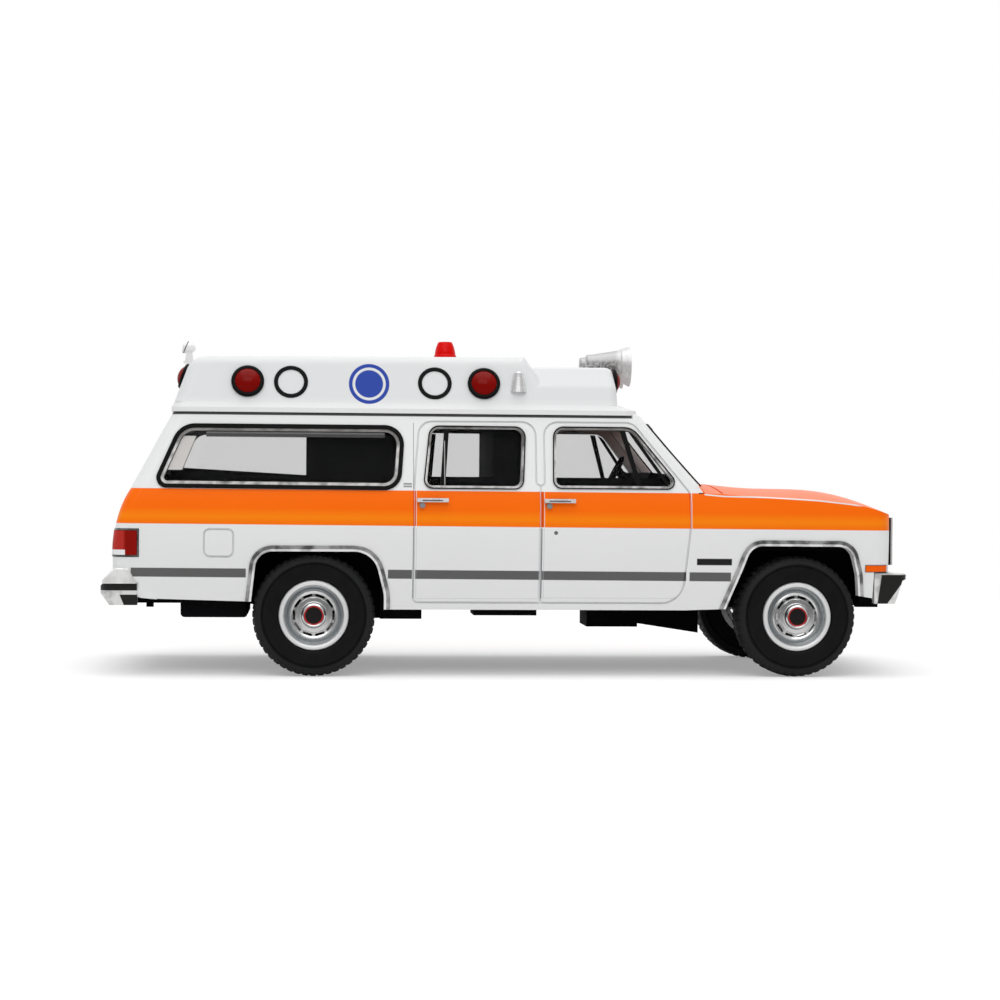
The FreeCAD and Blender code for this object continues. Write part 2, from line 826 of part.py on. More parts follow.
# Small bell-shaped side lamps
bell_share = 0.5126
bell_lift = 1.35
bell_height = 2.2
bell_radius = 0.92
bell_sink = 0.25
bell_shares = [(0.0, 0.12), (0.7, 0.0), (1.0, 0.0), (0.625, 0.72), (0.543, 0.92), (0.326, 1.0), (0.0, 1.0)]


def make_bell_lamps(roof):
    spot = side_spot(along(bell_share), box_base + bell_lift)[0]
    bell = turned(scaled(bell_shares, bell_radius, bell_height))
    bell.translate(spot - Vector(0, bell_sink, 0))
    return both(bell.cut(roof))


# Tail floodlight: a round-backed lamp that faces the rear on a pedestal at the edge of the roof
flood_share = 0.0795
flood_radius = 0.73
flood_depth = 1.4
flood_tilt = 10
flood_lift = 1.75
flood_shares = [
    (0.0, 0.0), (0.3, 0.03), (0.62, 0.16), (0.86, 0.4), (0.97, 0.7), (1.0, 1.0), (0.86, 1.0), (0.8, 0.82),
    (0.0, 0.62),
]
pedestal_thickness = 0.28
pedestal_reach = 2.8
pedestal_shares = [(-0.62, 0.0), (-0.42, 0.7), (0.42, 0.7), (0.58, 0.0)]
pedestal_width = 0.8


def make_floodlight(roof):
    seat = Vector(along(flood_share), 0, box_top_rear - pedestal_thickness)
    centre = seat + Vector(0, 0, flood_lift)
    angle = math.radians(flood_tilt)
    way = Vector(-math.cos(angle), 0, math.sin(angle))
    head = turned(scaled(flood_shares, flood_radius, flood_depth))
    head = seated(head, (centre - way * flood_depth / 2, way))
    half = pedestal_width / 2
    foot = block((seat.x + pedestal_shares[0][0], -half, seat.z),
                 (seat.x + pedestal_reach, half, seat.z + pedestal_thickness))
    outline = [(seat.x + s * pedestal_width, seat.z + t * flood_lift) for s, t in pedestal_shares]
    post = slab(outline, -half, half)
    return fused([foot, post, head]).cut(roof)


# Grille frame with its bars, and the headlamps in it
bar_depth = 0.45
headlamp_play = 0.05
headlamp_sink = 0.15


def make_grille():
    frame = block((grille_back_x, -grille_half + fit, grille_low + fit),
                  (grille_front_x, grille_half - fit, grille_high - fit))
    inside_low = grille_low + frame_width
    inside_high = grille_high - frame_width
    floor_x = grille_back_x + bar_depth
    lamp = block((floor_x, lamp_edge + frame_width, inside_low),
                 (reach, grille_half - frame_width, inside_high))
    middle = block((floor_x, -lamp_edge, inside_low), (reach, lamp_edge, inside_high))
    solids = [frame.cut([middle, lamp, mirrored(lamp)])]
    pitch = (inside_high - inside_low) / (bar_count + 1)
    for index in range(bar_count):
        level = inside_low + (index + 1) * pitch
        solids.append(block((floor_x - fit, -lamp_edge - fit, level - bar_thickness / 2),
                            (grille_front_x - fit, lamp_edge + fit, level + bar_thickness / 2)))
    divider_low = (grille_low + grille_high - frame_width) / 2
    divider = block((floor_x - fit, lamp_edge, divider_low),
                    (grille_front_x - fit, grille_half - 2 * fit, divider_low + frame_width))
    return fused(solids + [divider, mirrored(divider)])


def make_headlamps():
    low_y = lamp_edge + frame_width + headlamp_play
    high_y = grille_half - frame_width - headlamp_play
    middle = (grille_low + grille_high) / 2
    near_x = grille_back_x + bar_depth
    far_x = grille_front_x - headlamp_sink
    lower = block((near_x, low_y, grille_low + frame_width + headlamp_play),
                  (far_x, high_y, middle - frame_width / 2 - headlamp_play))
    upper = block((near_x, low_y, middle + frame_width / 2 + headlamp_play),
                  (far_x, high_y, grille_high - frame_width - headlamp_play))
    return Part.Compound([both(lower), both(upper)])


# Turn lamps under the grille
turn_lamp_shares = [(0.56, 0.204), (0.56, 0.224), (0.845, 0.224), (0.845, 0.204)]


def make_turn_lamps():
    lamp = prism(polygon(across(turn_lamp_shares), end_plane), Vector(reach, 0, 0))
    lamp.translate(Vector(along(hood_seat_share), 0, 0))
    return both(layer(lamp, marker_stand, 0))


def make_tail_lamps():
    return both(layer(tail_lamp_tool(tail_bezel + fit / 2), tail_lamp_stand, tail_lamp_depth - fit))


def make_tail_bezels():
    frame = tail_lamp_tool(fit / 2).cut(tail_lamp_tool(tail_bezel))
    return both(layer(frame, tail_lamp_stand, tail_lamp_depth - fit))


def make_side_markers():
    wire = polygon(spots(marker_shares), side_plane).makeOffset2D(-fit / 2, 2)
    return both(layer(side_tool(wire), marker_stand, marker_depth - fit / 2))


# Door handles: a bar on two feet, with a push button under its rear end
handle_length = 3.3
handle_thickness = 0.42
handle_stand = 0.55
handle_sink = 0.28
handle_foot = 0.6
foot_stand = 0.41
handle_rounding = 0.1
handle_share = 0.552
handle_shares = (0.3803, 0.5440)
button_radius = 0.3
button_back = 0.54
button_drop = 0.55
button_stand = 0.28
# The tail door handle: half way across its door edge, and low on the tail
tail_handle_width = 2.2
tail_handle_share = 0.52
tail_handle_offset = 0.5


def make_handles():
    solids = []
    level = up(handle_share)
    low = level - handle_thickness / 2
    high = level + handle_thickness / 2
    for share in handle_shares:
        x = along(share)
        end = x + handle_length
        outline = rounded_wire([(x, low), (end, low), (end, high), (x, high)], handle_rounding, side_plane)
        pieces = [layer(side_tool(outline), handle_stand, -handle_sink)]
        for foot_x in (x, end - handle_foot):
            foot = block((foot_x, side_cut_y, low), (foot_x + handle_foot, reach, high))
            pieces.append(layer(foot, foot_stand, 0))
        button_seat = Vector(x + button_back, side_cut_y, level - button_drop)
        button = Part.makeCylinder(button_radius, reach, button_seat, Vector(0, 1, 0))
        pieces.append(layer(button, button_stand, 0))
        solids.append(both(fused(pieces)))
    tail_low = up(tail_handle_share)
    grip = block((-reach, -tail_handle_offset - tail_handle_width, tail_low),
                 (middle_x, -tail_handle_offset, tail_low + handle_thickness))
    solids.append(layer(grip, foot_stand, 0))
    return Part.Compound(solids)


# Bumpers: a bar with returns along the sides, higher at its outer edge
rear_bumper_depth = 3.86
rear_bumper_rise = 0.41
rear_bumper_height = 2.33
front_bumper_depth = 3.72
front_bumper_rise = 0.83
front_bumper_height = 3.24
bumper_half = 15.3
bumper_corner = 1.3
bumper_bar = 1.6
bumper_return = 1.1
rear_bumper_shares = [(0.0, 0.55), (0.0, 0.84), (0.10, 1.0), (1.0, 1.0), (1.0, 0.0), (0.26, 0.0)]
front_bumper_shares = [
    (0.0, 0.0), (0.0, 1.0), (0.90, 1.0), (1.0, 0.92), (0.985, 0.82), (0.83, 0.76), (0.60, 0.0),
]


def bumper(tip_x, way, depth, rise, height, shares):
    """The side outline across the whole width, cut to the plan outline and hollowed behind."""
    back_x = tip_x - way * depth
    low_x = min(back_x, tip_x)
    low = sill_height + rise
    side = slab([(low_x + s * depth, low + t * height) for s, t in shares], -reach, reach)
    half = bumper_half
    plan_points = [(back_x, -half), (tip_x, -half), (tip_x, half), (back_x, half)]
    plan_outline = rounded_wire(plan_points, [0, bumper_corner, bumper_corner, 0], top_plane)
    plan = prism(plan_outline, Vector(0, 0, reach))
    inner_half = bumper_half - bumper_return
    inner_x = sorted((back_x - way * overrun, tip_x - way * bumper_bar))
    inner = block((inner_x[0], -inner_half, 0), (inner_x[1], inner_half, reach))
    return side.common(plan).cut(inner)


# Base plate with the axle housings and the running gear moulded on it
plate_half = sill_half_width - wall - fit
plate_rear_x = bumper_bar + fit - overall_length / 2
plate_front_x = overall_length / 2 - bumper_bar - fit
housing_radius = 1.0
housing_gap = 1.13
differential_radius = 1.9
front_differential_offset = 3.2
spring_half_spacing = 7.2
spring_width = 1.3
spring_length = 15.0
spring_thickness = 1.0
spring_drop_share = 0.45
rail_half_spacing = 5.2
rail_width = 1.1
rail_depth = 0.7
shaft_radius = 0.55
# Tank: its place along the body, and across it as shares of the plate's half width
tank_shares = [(0.0785, 0.1645), (-0.97, -0.15)]
tank_depth = 1.82
tank_rounding = 0.45
# Gearbox guard with a lever arm on each side
guard_shares = (0.617, 0.686)
guard_depth = 3.3
guard_half = 3.4
arm_end_share = 0.769
arm_rise = 0.4
arm_drop = 3.95
arm_width = 1.2
# Body mounts that show under the doors: place along the body, and depth
mount_shares = [(0.3285, 0.389), (0.457, 0.5393)]
mount_depths = [2.0, 1.6]
mount_side_shares = (0.45, 0.85)
hook_share = 0.031
hook_width = 0.75
hook_depth = 1.0
tab_share = 0.972
tab_half_spacing = 8.0
tab_width = 0.9
tab_depth = 0.75
housing_half = inner_half_track - housing_gap


def hung(low_x, high_x, low_y, high_y, depth):
    """A block that stands down from the plate."""
    return block((low_x, low_y, plate_bottom - depth), (high_x, high_y, plate_bottom + fit))


def make_axle_gear(axle_x, offset):
    """The housing, differential and two leaf springs of one axle."""
    seat = Vector(axle_x, -housing_half, tyre_radius)
    housing = Part.makeCylinder(housing_radius, 2 * housing_half, seat, Vector(0, 1, 0))
    ball = Part.makeSphere(differential_radius, Vector(axle_x, offset, tyre_radius))
    saddle = tyre_radius - housing_radius * spring_drop_share
    half = spring_length / 2
    top = plate_bottom + spring_thickness / 2
    low = plate_bottom - spring_thickness / 2
    outline = [(axle_x - half, top), (axle_x - half, low), (axle_x - housing_radius, saddle),
               (axle_x + housing_radius, saddle), (axle_x + half, low), (axle_x + half, top)]
    spring = slab(outline, spring_half_spacing - spring_width / 2, spring_half_spacing + spring_width / 2)
    return [housing, ball, spring, mirrored(spring)]


def make_guard():
    low, high = [along(s) for s in guard_shares]
    end = along(arm_end_share)
    root = plate_bottom - guard_depth + arm_rise
    tip = plate_bottom - arm_drop
    outline = [(high - fit, root), (high - fit, plate_bottom + fit), (end, plate_bottom + fit), (end, tip)]
    arm = slab(outline, guard_half - arm_width, guard_half)
    return [hung(low, high, -guard_half, guard_half, guard_depth), arm, mirrored(arm)]


def notch(axle_x):
    half = tyre_radius + wheel_gap
    return both(block((axle_x - half, inner_half_track - wheel_side_gap, 0),
                      (axle_x + half, reach, well_level)))


def make_base():
    solids = [block((plate_rear_x, -plate_half, plate_bottom), (plate_front_x, plate_half, plate_top))]
    solids += make_axle_gear(rear_axle_x, 0)
    solids += make_axle_gear(front_axle_x, front_differential_offset)
    solids += make_guard()
    shaft_seat = Vector(rear_axle_x, 0, plate_bottom - shaft_radius / 2)
    solids.append(Part.makeCylinder(shaft_radius, wheelbase, shaft_seat, Vector(1, 0, 0)))
    tank_x = [along(s) for s in tank_shares[0]]
    tank_y = [s * plate_half for s in tank_shares[1]]
    tank = hung(tank_x[0], tank_x[1], tank_y[0], tank_y[1], tank_depth)
    under = plate_bottom - tank_depth + fit
    lower_edges = [edge for edge in tank.Edges if edge.BoundBox.ZMin < under]
    solids.append(tank.makeFillet(tank_rounding, lower_edges))
    rail_low = rail_half_spacing - rail_width / 2
    paired = [hung(plate_rear_x + wall, plate_front_x - wall, rail_low, rail_low + rail_width, rail_depth)]
    near, far = [s * plate_half for s in mount_side_shares]
    for (low, high), depth in zip(mount_shares, mount_depths):
        paired.append(hung(along(low), along(high), near, far, depth))
    tab_low = tab_half_spacing - tab_width / 2
    paired.append(hung(along(tab_share), plate_front_x, tab_low, tab_low + tab_width, tab_depth))
    hook_low = tab_half_spacing - hook_width / 2
    hook_x = along(hook_share)
    paired.append(hung(hook_x, hook_x + hook_width, hook_low, hook_low + hook_width, hook_depth))
    solids += paired + [mirrored(piece) for piece in paired]
    cuts = [notch(rear_axle_x), notch(front_axle_x)]
    for axle_x in (rear_axle_x, front_axle_x):
        seat = Vector(axle_x, -reach, tyre_radius)
        cuts.append(Part.makeCylinder(axle_radius + axle_play, 2 * reach, seat, Vector(0, 1, 0)))
    return fused(solids).cut(cuts)


# Wheel wells: dark linings that close the arches above and behind the wheels
well_thickness = 0.6
well_end_thickness = 0.9
well_half = plate_half
well_front_gap = 1.8


def make_wheel_wells():
    low_x = along(tub_front_share) + fit
    high_x = body_front_x - well_front_gap
    front = block((low_x, -well_half, plate_top), (high_x, well_half, well_level + well_thickness))
    solids = [front.cut(notch(front_axle_x))]
    half = tyre_radius + wheel_gap
    for side in (-half - well_end_thickness, half):
        low = rear_axle_x + side
        wall_piece = block((low, tub_half_low + 2 * fit, plate_top),
                           (low + well_end_thickness, well_half, well_level - fit))
        solids.append(both(wall_piece))
    return Part.Compound(solids)


# Rivet heads that close the model from below
rivet_radius = 1.0
rivet_height = 0.35
rivet_places_shares = (0.115, 0.925)
rivet_shares = [(0.0, 0.0), (1.0, 0.0), (1.0, 0.5), (0.5, 1.0), (0.0, 1.0)]


def make_rivets():
    rivet = turned(scaled(rivet_shares, rivet_radius, rivet_height))
    heads = []
    for share in rivet_places_shares:
        heads.append(seated(rivet, (Vector(along(share), 0, plate_bottom), Vector(0, 0, -1))))
    return Part.Compound(heads)


# Interior moulding: floor, seats, dashboard, bulkhead and cabinet
tub_rear_share = 0.0475
tub_front_share = 0.715
tub_rim_rise = 1.5
tub_wall = 1.0
tub_floor = 0.8
tub_side_gap = 0.93
cabinet_shares = (0.2380, 0.372)
bulkhead_shares = (0.4823, 0.5434)
dash_shares = [(0.684, 0.58), (0.680, 0.655), (0.686, 0.700), (0.711, 0.690), (0.715, 0.655), (0.715, 0.58)]
bench_shares = [(0.556, 0.22), (0.548, 0.645), (0.564, 0.645), (0.576, 0.40), (0.635, 0.42), (0.635, 0.22)]
side_bench_shares = (0.06, 0.23)
side_bench_share = 0.4933
side_bench_half = 7.0
ledge_shares = [(0.064, 0.48), (0.064, 0.708), (0.24, 0.672), (0.24, 0.48)]
ledge_width = 1.6
tub_rim_level = belt_level + tub_rim_rise
tub_half_low = inner_half_track - tub_side_gap
lining = glass_inset + glass_thickness + fit
tall_half = gutter_half_width - lining


def make_tub():
    half = between(tub_rim_level, belt_level, gutter_level, belt_half_width, gutter_half_width) - lining
    rear_x = along(tub_rear_share)
    front_x = along(tub_front_share)
    upper = block((rear_x, -half, well_level), (front_x, half, tub_rim_level))
    lower = block((rear_x, -tub_half_low, plate_top), (front_x, tub_half_low, well_level + fit))
    hollow = block((rear_x + tub_wall, -half + tub_wall, well_level + tub_floor),
                   (front_x - tub_wall, half - tub_wall, reach))
    well = block((rear_x + tub_wall, -tub_half_low + tub_wall, plate_top + tub_floor),
                 (front_x - tub_wall, tub_half_low - tub_wall, tub_rim_level))
    solids = [fused([upper, lower]).cut([hollow, well])]
    inner = half - tub_wall + fit
    floor = plate_top + fit
    for low, high in (cabinet_shares, bulkhead_shares):
        solids.append(block((along(low), -tall_half, floor),
                            (along(high), tall_half, roof_height - lining)))
    solids.append(slab(spots(dash_shares), -inner, inner))
    solids.append(slab(spots(bench_shares), -tall_half, tall_half))
    side_bench = block((along(side_bench_shares[0]), side_bench_half, floor),
                       (along(side_bench_shares[1]), inner, up(side_bench_share)))
    ledge = slab(spots(ledge_shares), inner - ledge_width, inner)
    solids += [side_bench, mirrored(side_bench), ledge, mirrored(ledge)]
    outside = block((-reach, tub_half_low + fit, 0), (reach, reach, well_level))
    return fused(solids).cut([outside, mirrored(outside)])


# Steering wheel on its column
steering_share = 0.6695
steering_level_share = 0.7080
steering_side = 6.0
steering_radius = 1.75
steering_thickness = 0.2
steering_tilt = 62
hub_radius = 0.45
spoke_count = 3
column_length = 1.9


def make_steering_wheel(tub):
    inner = steering_radius - steering_thickness
    outer = steering_radius + steering_thickness
    grip = steering_thickness
    pieces = [turned([(inner, 0), (steering_radius, -grip), (outer, 0), (steering_radius, grip)])]
    pieces.append(Part.makeCylinder(hub_radius, column_length, Vector(0, 0, -column_length)))
    for index in range(spoke_count):
        spoke = block((0, -grip / 2, -grip / 2), (steering_radius, grip / 2, grip / 2))
        spoke.rotate(Vector(), Vector(0, 0, 1), 90 + index * 360 / spoke_count)
        pieces.append(spoke)
    angle = math.radians(steering_tilt)
    way = Vector(-math.sin(angle), 0, math.cos(angle))
    seat = Vector(along(steering_share), steering_side, up(steering_level_share))
    return seated(fused(pieces), (seat, way)).cut(tub)


# Wheels, drawn about the Z axis with the outer face upwards, as shares of the rim's or the tyre's
# radius and of the tyre's width
rim_shares = [
    (0.0, -0.055), (0.37, -0.055), (0.39, -0.09), (0.49, -0.10), (0.515, -0.15), (0.61, -0.155),
    (0.65, -0.14), (0.69, -0.16), (0.705, -0.22), (0.74, -0.20), (0.845, -0.10), (0.87, -0.035), (0.92, -0.02),
    (0.975, -0.03), (1.0, -0.06), (1.0, -0.09), (0.945, -0.13), (0.945, -0.87), (1.0, -0.91), (1.0, -0.95),
    (0.82, -0.95), (0.80, -0.40), (0.42, -0.40), (0.40, -0.93), (0.0, -0.93),
]
slot_count = 10
slot_shares = (0.53, 0.60)
slot_width = 1.0
slot_depth_share = 0.33
tyre_shares = [
    (0.557, -0.14), (0.577, -0.14), (0.577, 0.0), (0.90, 0.0), (1.0, -0.17), (1.0, -0.83), (0.90, -1.0),
    (0.577, -1.0), (0.577, -0.86), (0.557, -0.86),
]
cap_shares = [(0.0, 0.0), (0.34, 0.0), (0.34, 0.022), (0.30, 0.045), (0.25, 0.03), (0.0, 0.03)]
hub_level = rim_shares[0][1] * tyre_width


def make_rim():
    bore_seat = Vector(0, 0, hub_level - wall)
    cuts = [Part.makeCylinder(axle_radius + press_play, reach, bore_seat, Vector(0, 0, -1))]
    low = -slot_depth_share * tyre_width - wall
    near, far = [s * rim_radius for s in slot_shares]
    for index in range(slot_count):
        slot = block((near, -slot_width / 2, low), (far, slot_width / 2, 0))
        slot.rotate(Vector(), Vector(0, 0, 1), index * 360 / slot_count)
        cuts.append(slot)
    return turned(scaled(rim_shares, rim_radius, tyre_width)).cut(cuts)


def make_tyre():
    return turned(scaled(tyre_shares, tyre_radius, tyre_width))


def make_cap():
    cap = turned(scaled(cap_shares, rim_radius, tyre_width))
    cap.translate(Vector(0, 0, hub_level))
    return cap


def make_axle(axle_x):
    half = outer_half_track + hub_level - wall
    return Part.makeCylinder(axle_radius, 2 * half, Vector(axle_x, -half, tyre_radius), Vector(0, 1, 0))


body = make_body()
roof = make_roof_box()
tub = make_tub()
half_length = overall_length / 2
save("body_shell", body)
save("arch_trims", make_arch_trims())
save("glazing", make_glazing())
save("window_trims", make_window_trims())
save("window_gaskets", make_window_gaskets())
save("roof_box", roof)
save("warning_lamp_bezels", make_lamp_bezels())
save("warning_lamp_lenses", make_lamp_lenses())
save("side_light_rings", make_lamp_rings())
save("beacon", make_beacon())
save("siren_horns", make_siren_horns(roof))
save("bell_lamps", make_bell_lamps(roof))
save("floodlight", make_floodlight(roof))
save("grille", make_grille())
save("headlamps", make_headlamps())
save("turn_lamps", make_turn_lamps())
save("tail_lamps", make_tail_lamps())
save("tail_lamp_bezels", make_tail_bezels())
save("side_markers", make_side_markers())
save("door_handles", make_handles())
save("rear_bumper", bumper(-half_length, -1, rear_bumper_depth, rear_bumper_rise, rear_bumper_height,
                           rear_bumper_shares))
save("front_bumper", bumper(half_length, 1, front_bumper_depth, front_bumper_rise, front_bumper_height,
                            front_bumper_shares))
save("base_plate", make_base())
save("base_rivets", make_rivets())
save("wheel_wells", make_wheel_wells())
save("interior_tub", tub)
save("steering_wheel", make_steering_wheel(tub))
wheel_pieces = (("rim", make_rim()), ("tyre", make_tyre()), ("hub_cap", make_cap()))
for end, axle_x in (("front", front_axle_x), ("rear", rear_axle_x)):
    save(end + "_axle", make_axle(axle_x))
    for side, way in (("left", 1), ("right", -1)):
        for piece, shape in wheel_pieces:
            place = Vector(axle_x, way * outer_half_track, tyre_radius)
            save(end + "_" + side + "_" + piece, seated(shape, (place, Vector(0, way, 0))))
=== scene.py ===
import math

import bpy
from mathutils import Euler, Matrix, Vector


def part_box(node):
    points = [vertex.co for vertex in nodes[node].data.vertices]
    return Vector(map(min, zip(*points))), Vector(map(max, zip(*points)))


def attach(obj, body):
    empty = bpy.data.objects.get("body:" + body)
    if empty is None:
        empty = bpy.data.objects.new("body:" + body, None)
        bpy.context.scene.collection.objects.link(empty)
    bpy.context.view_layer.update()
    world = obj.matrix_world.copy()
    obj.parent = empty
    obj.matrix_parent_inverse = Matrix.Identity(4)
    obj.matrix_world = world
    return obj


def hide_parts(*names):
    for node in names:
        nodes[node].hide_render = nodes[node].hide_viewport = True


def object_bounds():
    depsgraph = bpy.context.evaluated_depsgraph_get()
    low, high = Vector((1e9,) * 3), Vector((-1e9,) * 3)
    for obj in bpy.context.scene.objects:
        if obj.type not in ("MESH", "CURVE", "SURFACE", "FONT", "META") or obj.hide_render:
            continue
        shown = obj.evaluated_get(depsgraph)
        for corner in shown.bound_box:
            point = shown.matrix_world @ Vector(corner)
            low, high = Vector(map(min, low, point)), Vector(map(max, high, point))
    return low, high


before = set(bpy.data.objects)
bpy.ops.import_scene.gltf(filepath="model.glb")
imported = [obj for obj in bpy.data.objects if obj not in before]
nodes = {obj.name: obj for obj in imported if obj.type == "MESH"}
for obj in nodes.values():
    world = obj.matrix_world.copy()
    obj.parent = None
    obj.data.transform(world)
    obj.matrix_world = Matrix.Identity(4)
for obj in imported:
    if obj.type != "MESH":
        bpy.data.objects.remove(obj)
frame_box = [list(corner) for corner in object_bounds()]


# Room and camera.
# A white table top that runs on into a white room, lit by a large soft lamp overhead and another
# high behind the camera. Glossy parts see the room and the table dark in front of the model. The
# camera stands level with the model's windows.
camera_place = (-0.02069, -0.2629, 0.021145)
camera_lens = 84.77
camera_yaw = 4.527
camera_pitch = -0.566
camera_roll = 0.45
room_light = 0.56
# An edge that fades is a pair: where it lies and its soft width. The mirrored room's edges are
# measured in the direction of sight, and the table's in metres
mirror_behind = (0.05, 0.6)
mirror_overhead = (0.55, 0.5)
mirror_overhead_level = 0.8
mirror_least = 0.05
table_size = 8
table_drop = 0.000006
table_glow = 0.30
table_far = (0.16, 0.16)
table_front = (-0.045, 0.03)
table_front_cover = 0.9
table_front_glow = 0.03


def clear_selection():
    for item in bpy.context.selected_objects:
        item.select_set(False)


clear_selection()
bpy.ops.object.camera_add(location=camera_place)
camera = bpy.context.object
camera.data.lens = camera_lens
camera.data.clip_start = 0.01
camera.data.clip_end = 50
level_turn = Euler((math.radians(90 + camera_pitch), 0, math.radians(-camera_yaw))).to_matrix()
camera.rotation_euler = (level_turn @ Euler((0, 0, math.radians(camera_roll))).to_matrix()).to_euler()
bpy.context.scene.camera = camera
bpy.context.scene.view_settings.view_transform = "Standard"


class Signal:
    """A shader socket that can be used in sums and products."""

    def __init__(self, finish, socket):
        self.finish = finish
        self.socket = socket

    def math(self, operation, *values, clamp=False):
        settings = {"operation": operation, "use_clamp": clamp}
        return self.finish.add("ShaderNodeMath", settings, dict(enumerate(values)))

    def __add__(self, other):
        return self.math("ADD", self, other)

    def __radd__(self, other):
        return self.math("ADD", other, self)

    def __sub__(self, other):
        return self.math("SUBTRACT", self, other)

    def __rsub__(self, other):
        return self.math("SUBTRACT", other, self)

    def __mul__(self, other):
        return self.math("MULTIPLY", self, other)

    def __rmul__(self, other):
        return self.math("MULTIPLY", other, self)

    def size(self):
        return self.math("ABSOLUTE", self)

    def root(self):
        return self.math("SQRT", self)

    def most(self, other):
        return self.math("MAXIMUM", self, other)

    def rises(self, edge, soft):
        """From 0 below the edge to 1 above it, over a soft width."""
        return self.math("MULTIPLY_ADD", self, 1 / soft, 0.5 - edge / soft, clamp=True)

    def falls(self, edge, soft):
        """From 1 below the edge to 0 above it."""
        return self.math("MULTIPLY_ADD", self, -1 / soft, 0.5 + edge / soft, clamp=True)

    def within(self, low, high, soft):
        """1 between two edges."""
        return self.rises(low, soft) * self.falls(high, soft)

    def within_any(self, spans, soft):
        """1 inside each of several spans."""
        return any_of([self.within(*span, soft) for span in spans])


def any_of(masks):
    """1 where one mask or another is 1."""
    whole = masks[0]
    for mask in masks[1:]:
        whole = whole.most(mask)
    return whole


class Finish:
    """A material or world that is put together node by node."""

    def __init__(self, block):
        block.use_nodes = True
        self.block = block
        self.tree = block.node_tree
        self.tree.nodes.clear()

    def add(self, kind, settings=None, inputs=None, output=0):
        """A node with its settings and what its sockets hold, given back as one of its outputs."""
        node = self.tree.nodes.new(kind)
        for key, value in (settings or {}).items():
            if key == "stops":
                ramp = node.color_ramp
                while len(ramp.elements) < len(value):
                    ramp.elements.new(0.5)
                for element, (place, level) in zip(ramp.elements, value):
                    element.position = place
                    element.color = grey(level)
            else:
                setattr(node, key, value)
        for key, value in (inputs or {}).items():
            if isinstance(value, Signal):
                self.tree.links.new(value.socket, node.inputs[key])
            else:
                node.inputs[key].default_value = value
        return Signal(self, node.outputs[output]) if node.outputs else None

    def place(self):
        """The object coordinates, as a vector."""
        return self.add("ShaderNodeTexCoord", output=3)

    def axis(self, name):
        """One of the object coordinates, in metres."""
        return self.add("ShaderNodeSeparateXYZ", None, {0: self.place()}, "XYZ".index(name))

    def noise(self, scale, detail=2.0, stretch=(1, 1, 1)):
        place = self.add("ShaderNodeMapping", None, {"Vector": self.place(), "Scale": stretch})
        inputs = {"Vector": place, "Scale": scale, "Detail": detail}
        return self.add("ShaderNodeTexNoise", {"noise_dimensions": "3D"}, inputs)

    def blend(self, mask, low, high):
        """A colour between two others."""
        return self.add("ShaderNodeMix", {"data_type": "RGBA"}, {0: mask, 6: low, 7: high}, 2)

    def printed(self, ground, tone, mask, cover=1):
        """A ground colour with a tone printed over it inside the mask."""
        return self.blend(mask * cover, ground, tone)

    def bump(self, height, strength, depth):
        inputs = {"Height": height, "Strength": strength, "Distance": depth}
        return self.add("ShaderNodeBump", None, inputs)

    def surface(self, inputs):
        shader = self.add("ShaderNodeBsdfPrincipled", None, inputs)
        self.add("ShaderNodeOutputMaterial", None, {0: shader})
        return self.block


def new_finish(name):
    return Finish(bpy.data.materials.new(name))


def grey(level):
    return (level, level, level, 1)


def distance(first, second):
    """How far a point lies from where both of these are nought."""
    return (first * first + second * second).root()


def seen_directly(finish):
    """1 for the camera's own rays and those through glass, 0 for the light on things."""
    direct = finish.add("ShaderNodeLightPath", output=0)
    through = finish.add("ShaderNodeLightPath", output=6)
    return direct.most(through)


world = bpy.data.worlds.new("white_room")
bpy.context.scene.world = world
room = Finish(world)
direction = room.add("ShaderNodeTexCoord", output=0)
away = room.add("ShaderNodeSeparateXYZ", None, {0: direction}, 1)
above = room.add("ShaderNodeSeparateXYZ", None, {0: direction}, 2)
mirrored = room.add("ShaderNodeLightPath", output=3)
mirror_level = away.rises(*mirror_behind).most(above.rises(*mirror_overhead) * mirror_overhead_level)
mirror_gain = mirrored * (mirror_level + mirror_least - room_light)
room_strength = room_light + (1 - room_light) * seen_directly(room) + mirror_gain
sky = room.add("ShaderNodeBackground", None, {"Color": grey(1), "Strength": room_strength})
room.add("ShaderNodeOutputWorld", None, {0: sky})

clear_selection()
bpy.ops.mesh.primitive_plane_add(size=table_size, location=(0, 0, -table_drop))
table = bpy.context.object
table.name = "table_top"
top = new_finish("table_white")
top_tone = top.blend(top.noise(900.0).rises(0.5, 0.8), grey(0.80), grey(0.83))
card = top.add("ShaderNodeBsdfDiffuse", None, {"Color": top_tone})
glow_level = table_glow * seen_directly(top)
glow = top.add("ShaderNodeEmission", None, {"Color": grey(1), "Strength": glow_level})
near_top = top.add("ShaderNodeAddShader", None, {0: card, 1: glow})
# Far off the table turns into the white of the room
far_off = distance(top.axis("X"), top.axis("Y")).rises(*table_far) * seen_directly(top)
far_top = top.add("ShaderNodeEmission", None, {"Color": grey(1), "Strength": 1.0})
whole_top = top.add("ShaderNodeMixShader", None, {0: far_off, 1: near_top, 2: far_top})
# Glossy parts see it dark in front of the model
mirror_ray = top.add("ShaderNodeLightPath", output=3)
in_front = top.axis("Y").falls(*table_front) * mirror_ray * table_front_cover
dark_top = top.add("ShaderNodeEmission", None, {"Color": grey(1), "Strength": table_front_glow})
whole_top = top.add("ShaderNodeMixShader", None, {0: in_front, 1: whole_top, 2: dark_top})
top.add("ShaderNodeOutputMaterial", None, {0: whole_top})
table.data.materials.append(top.block)


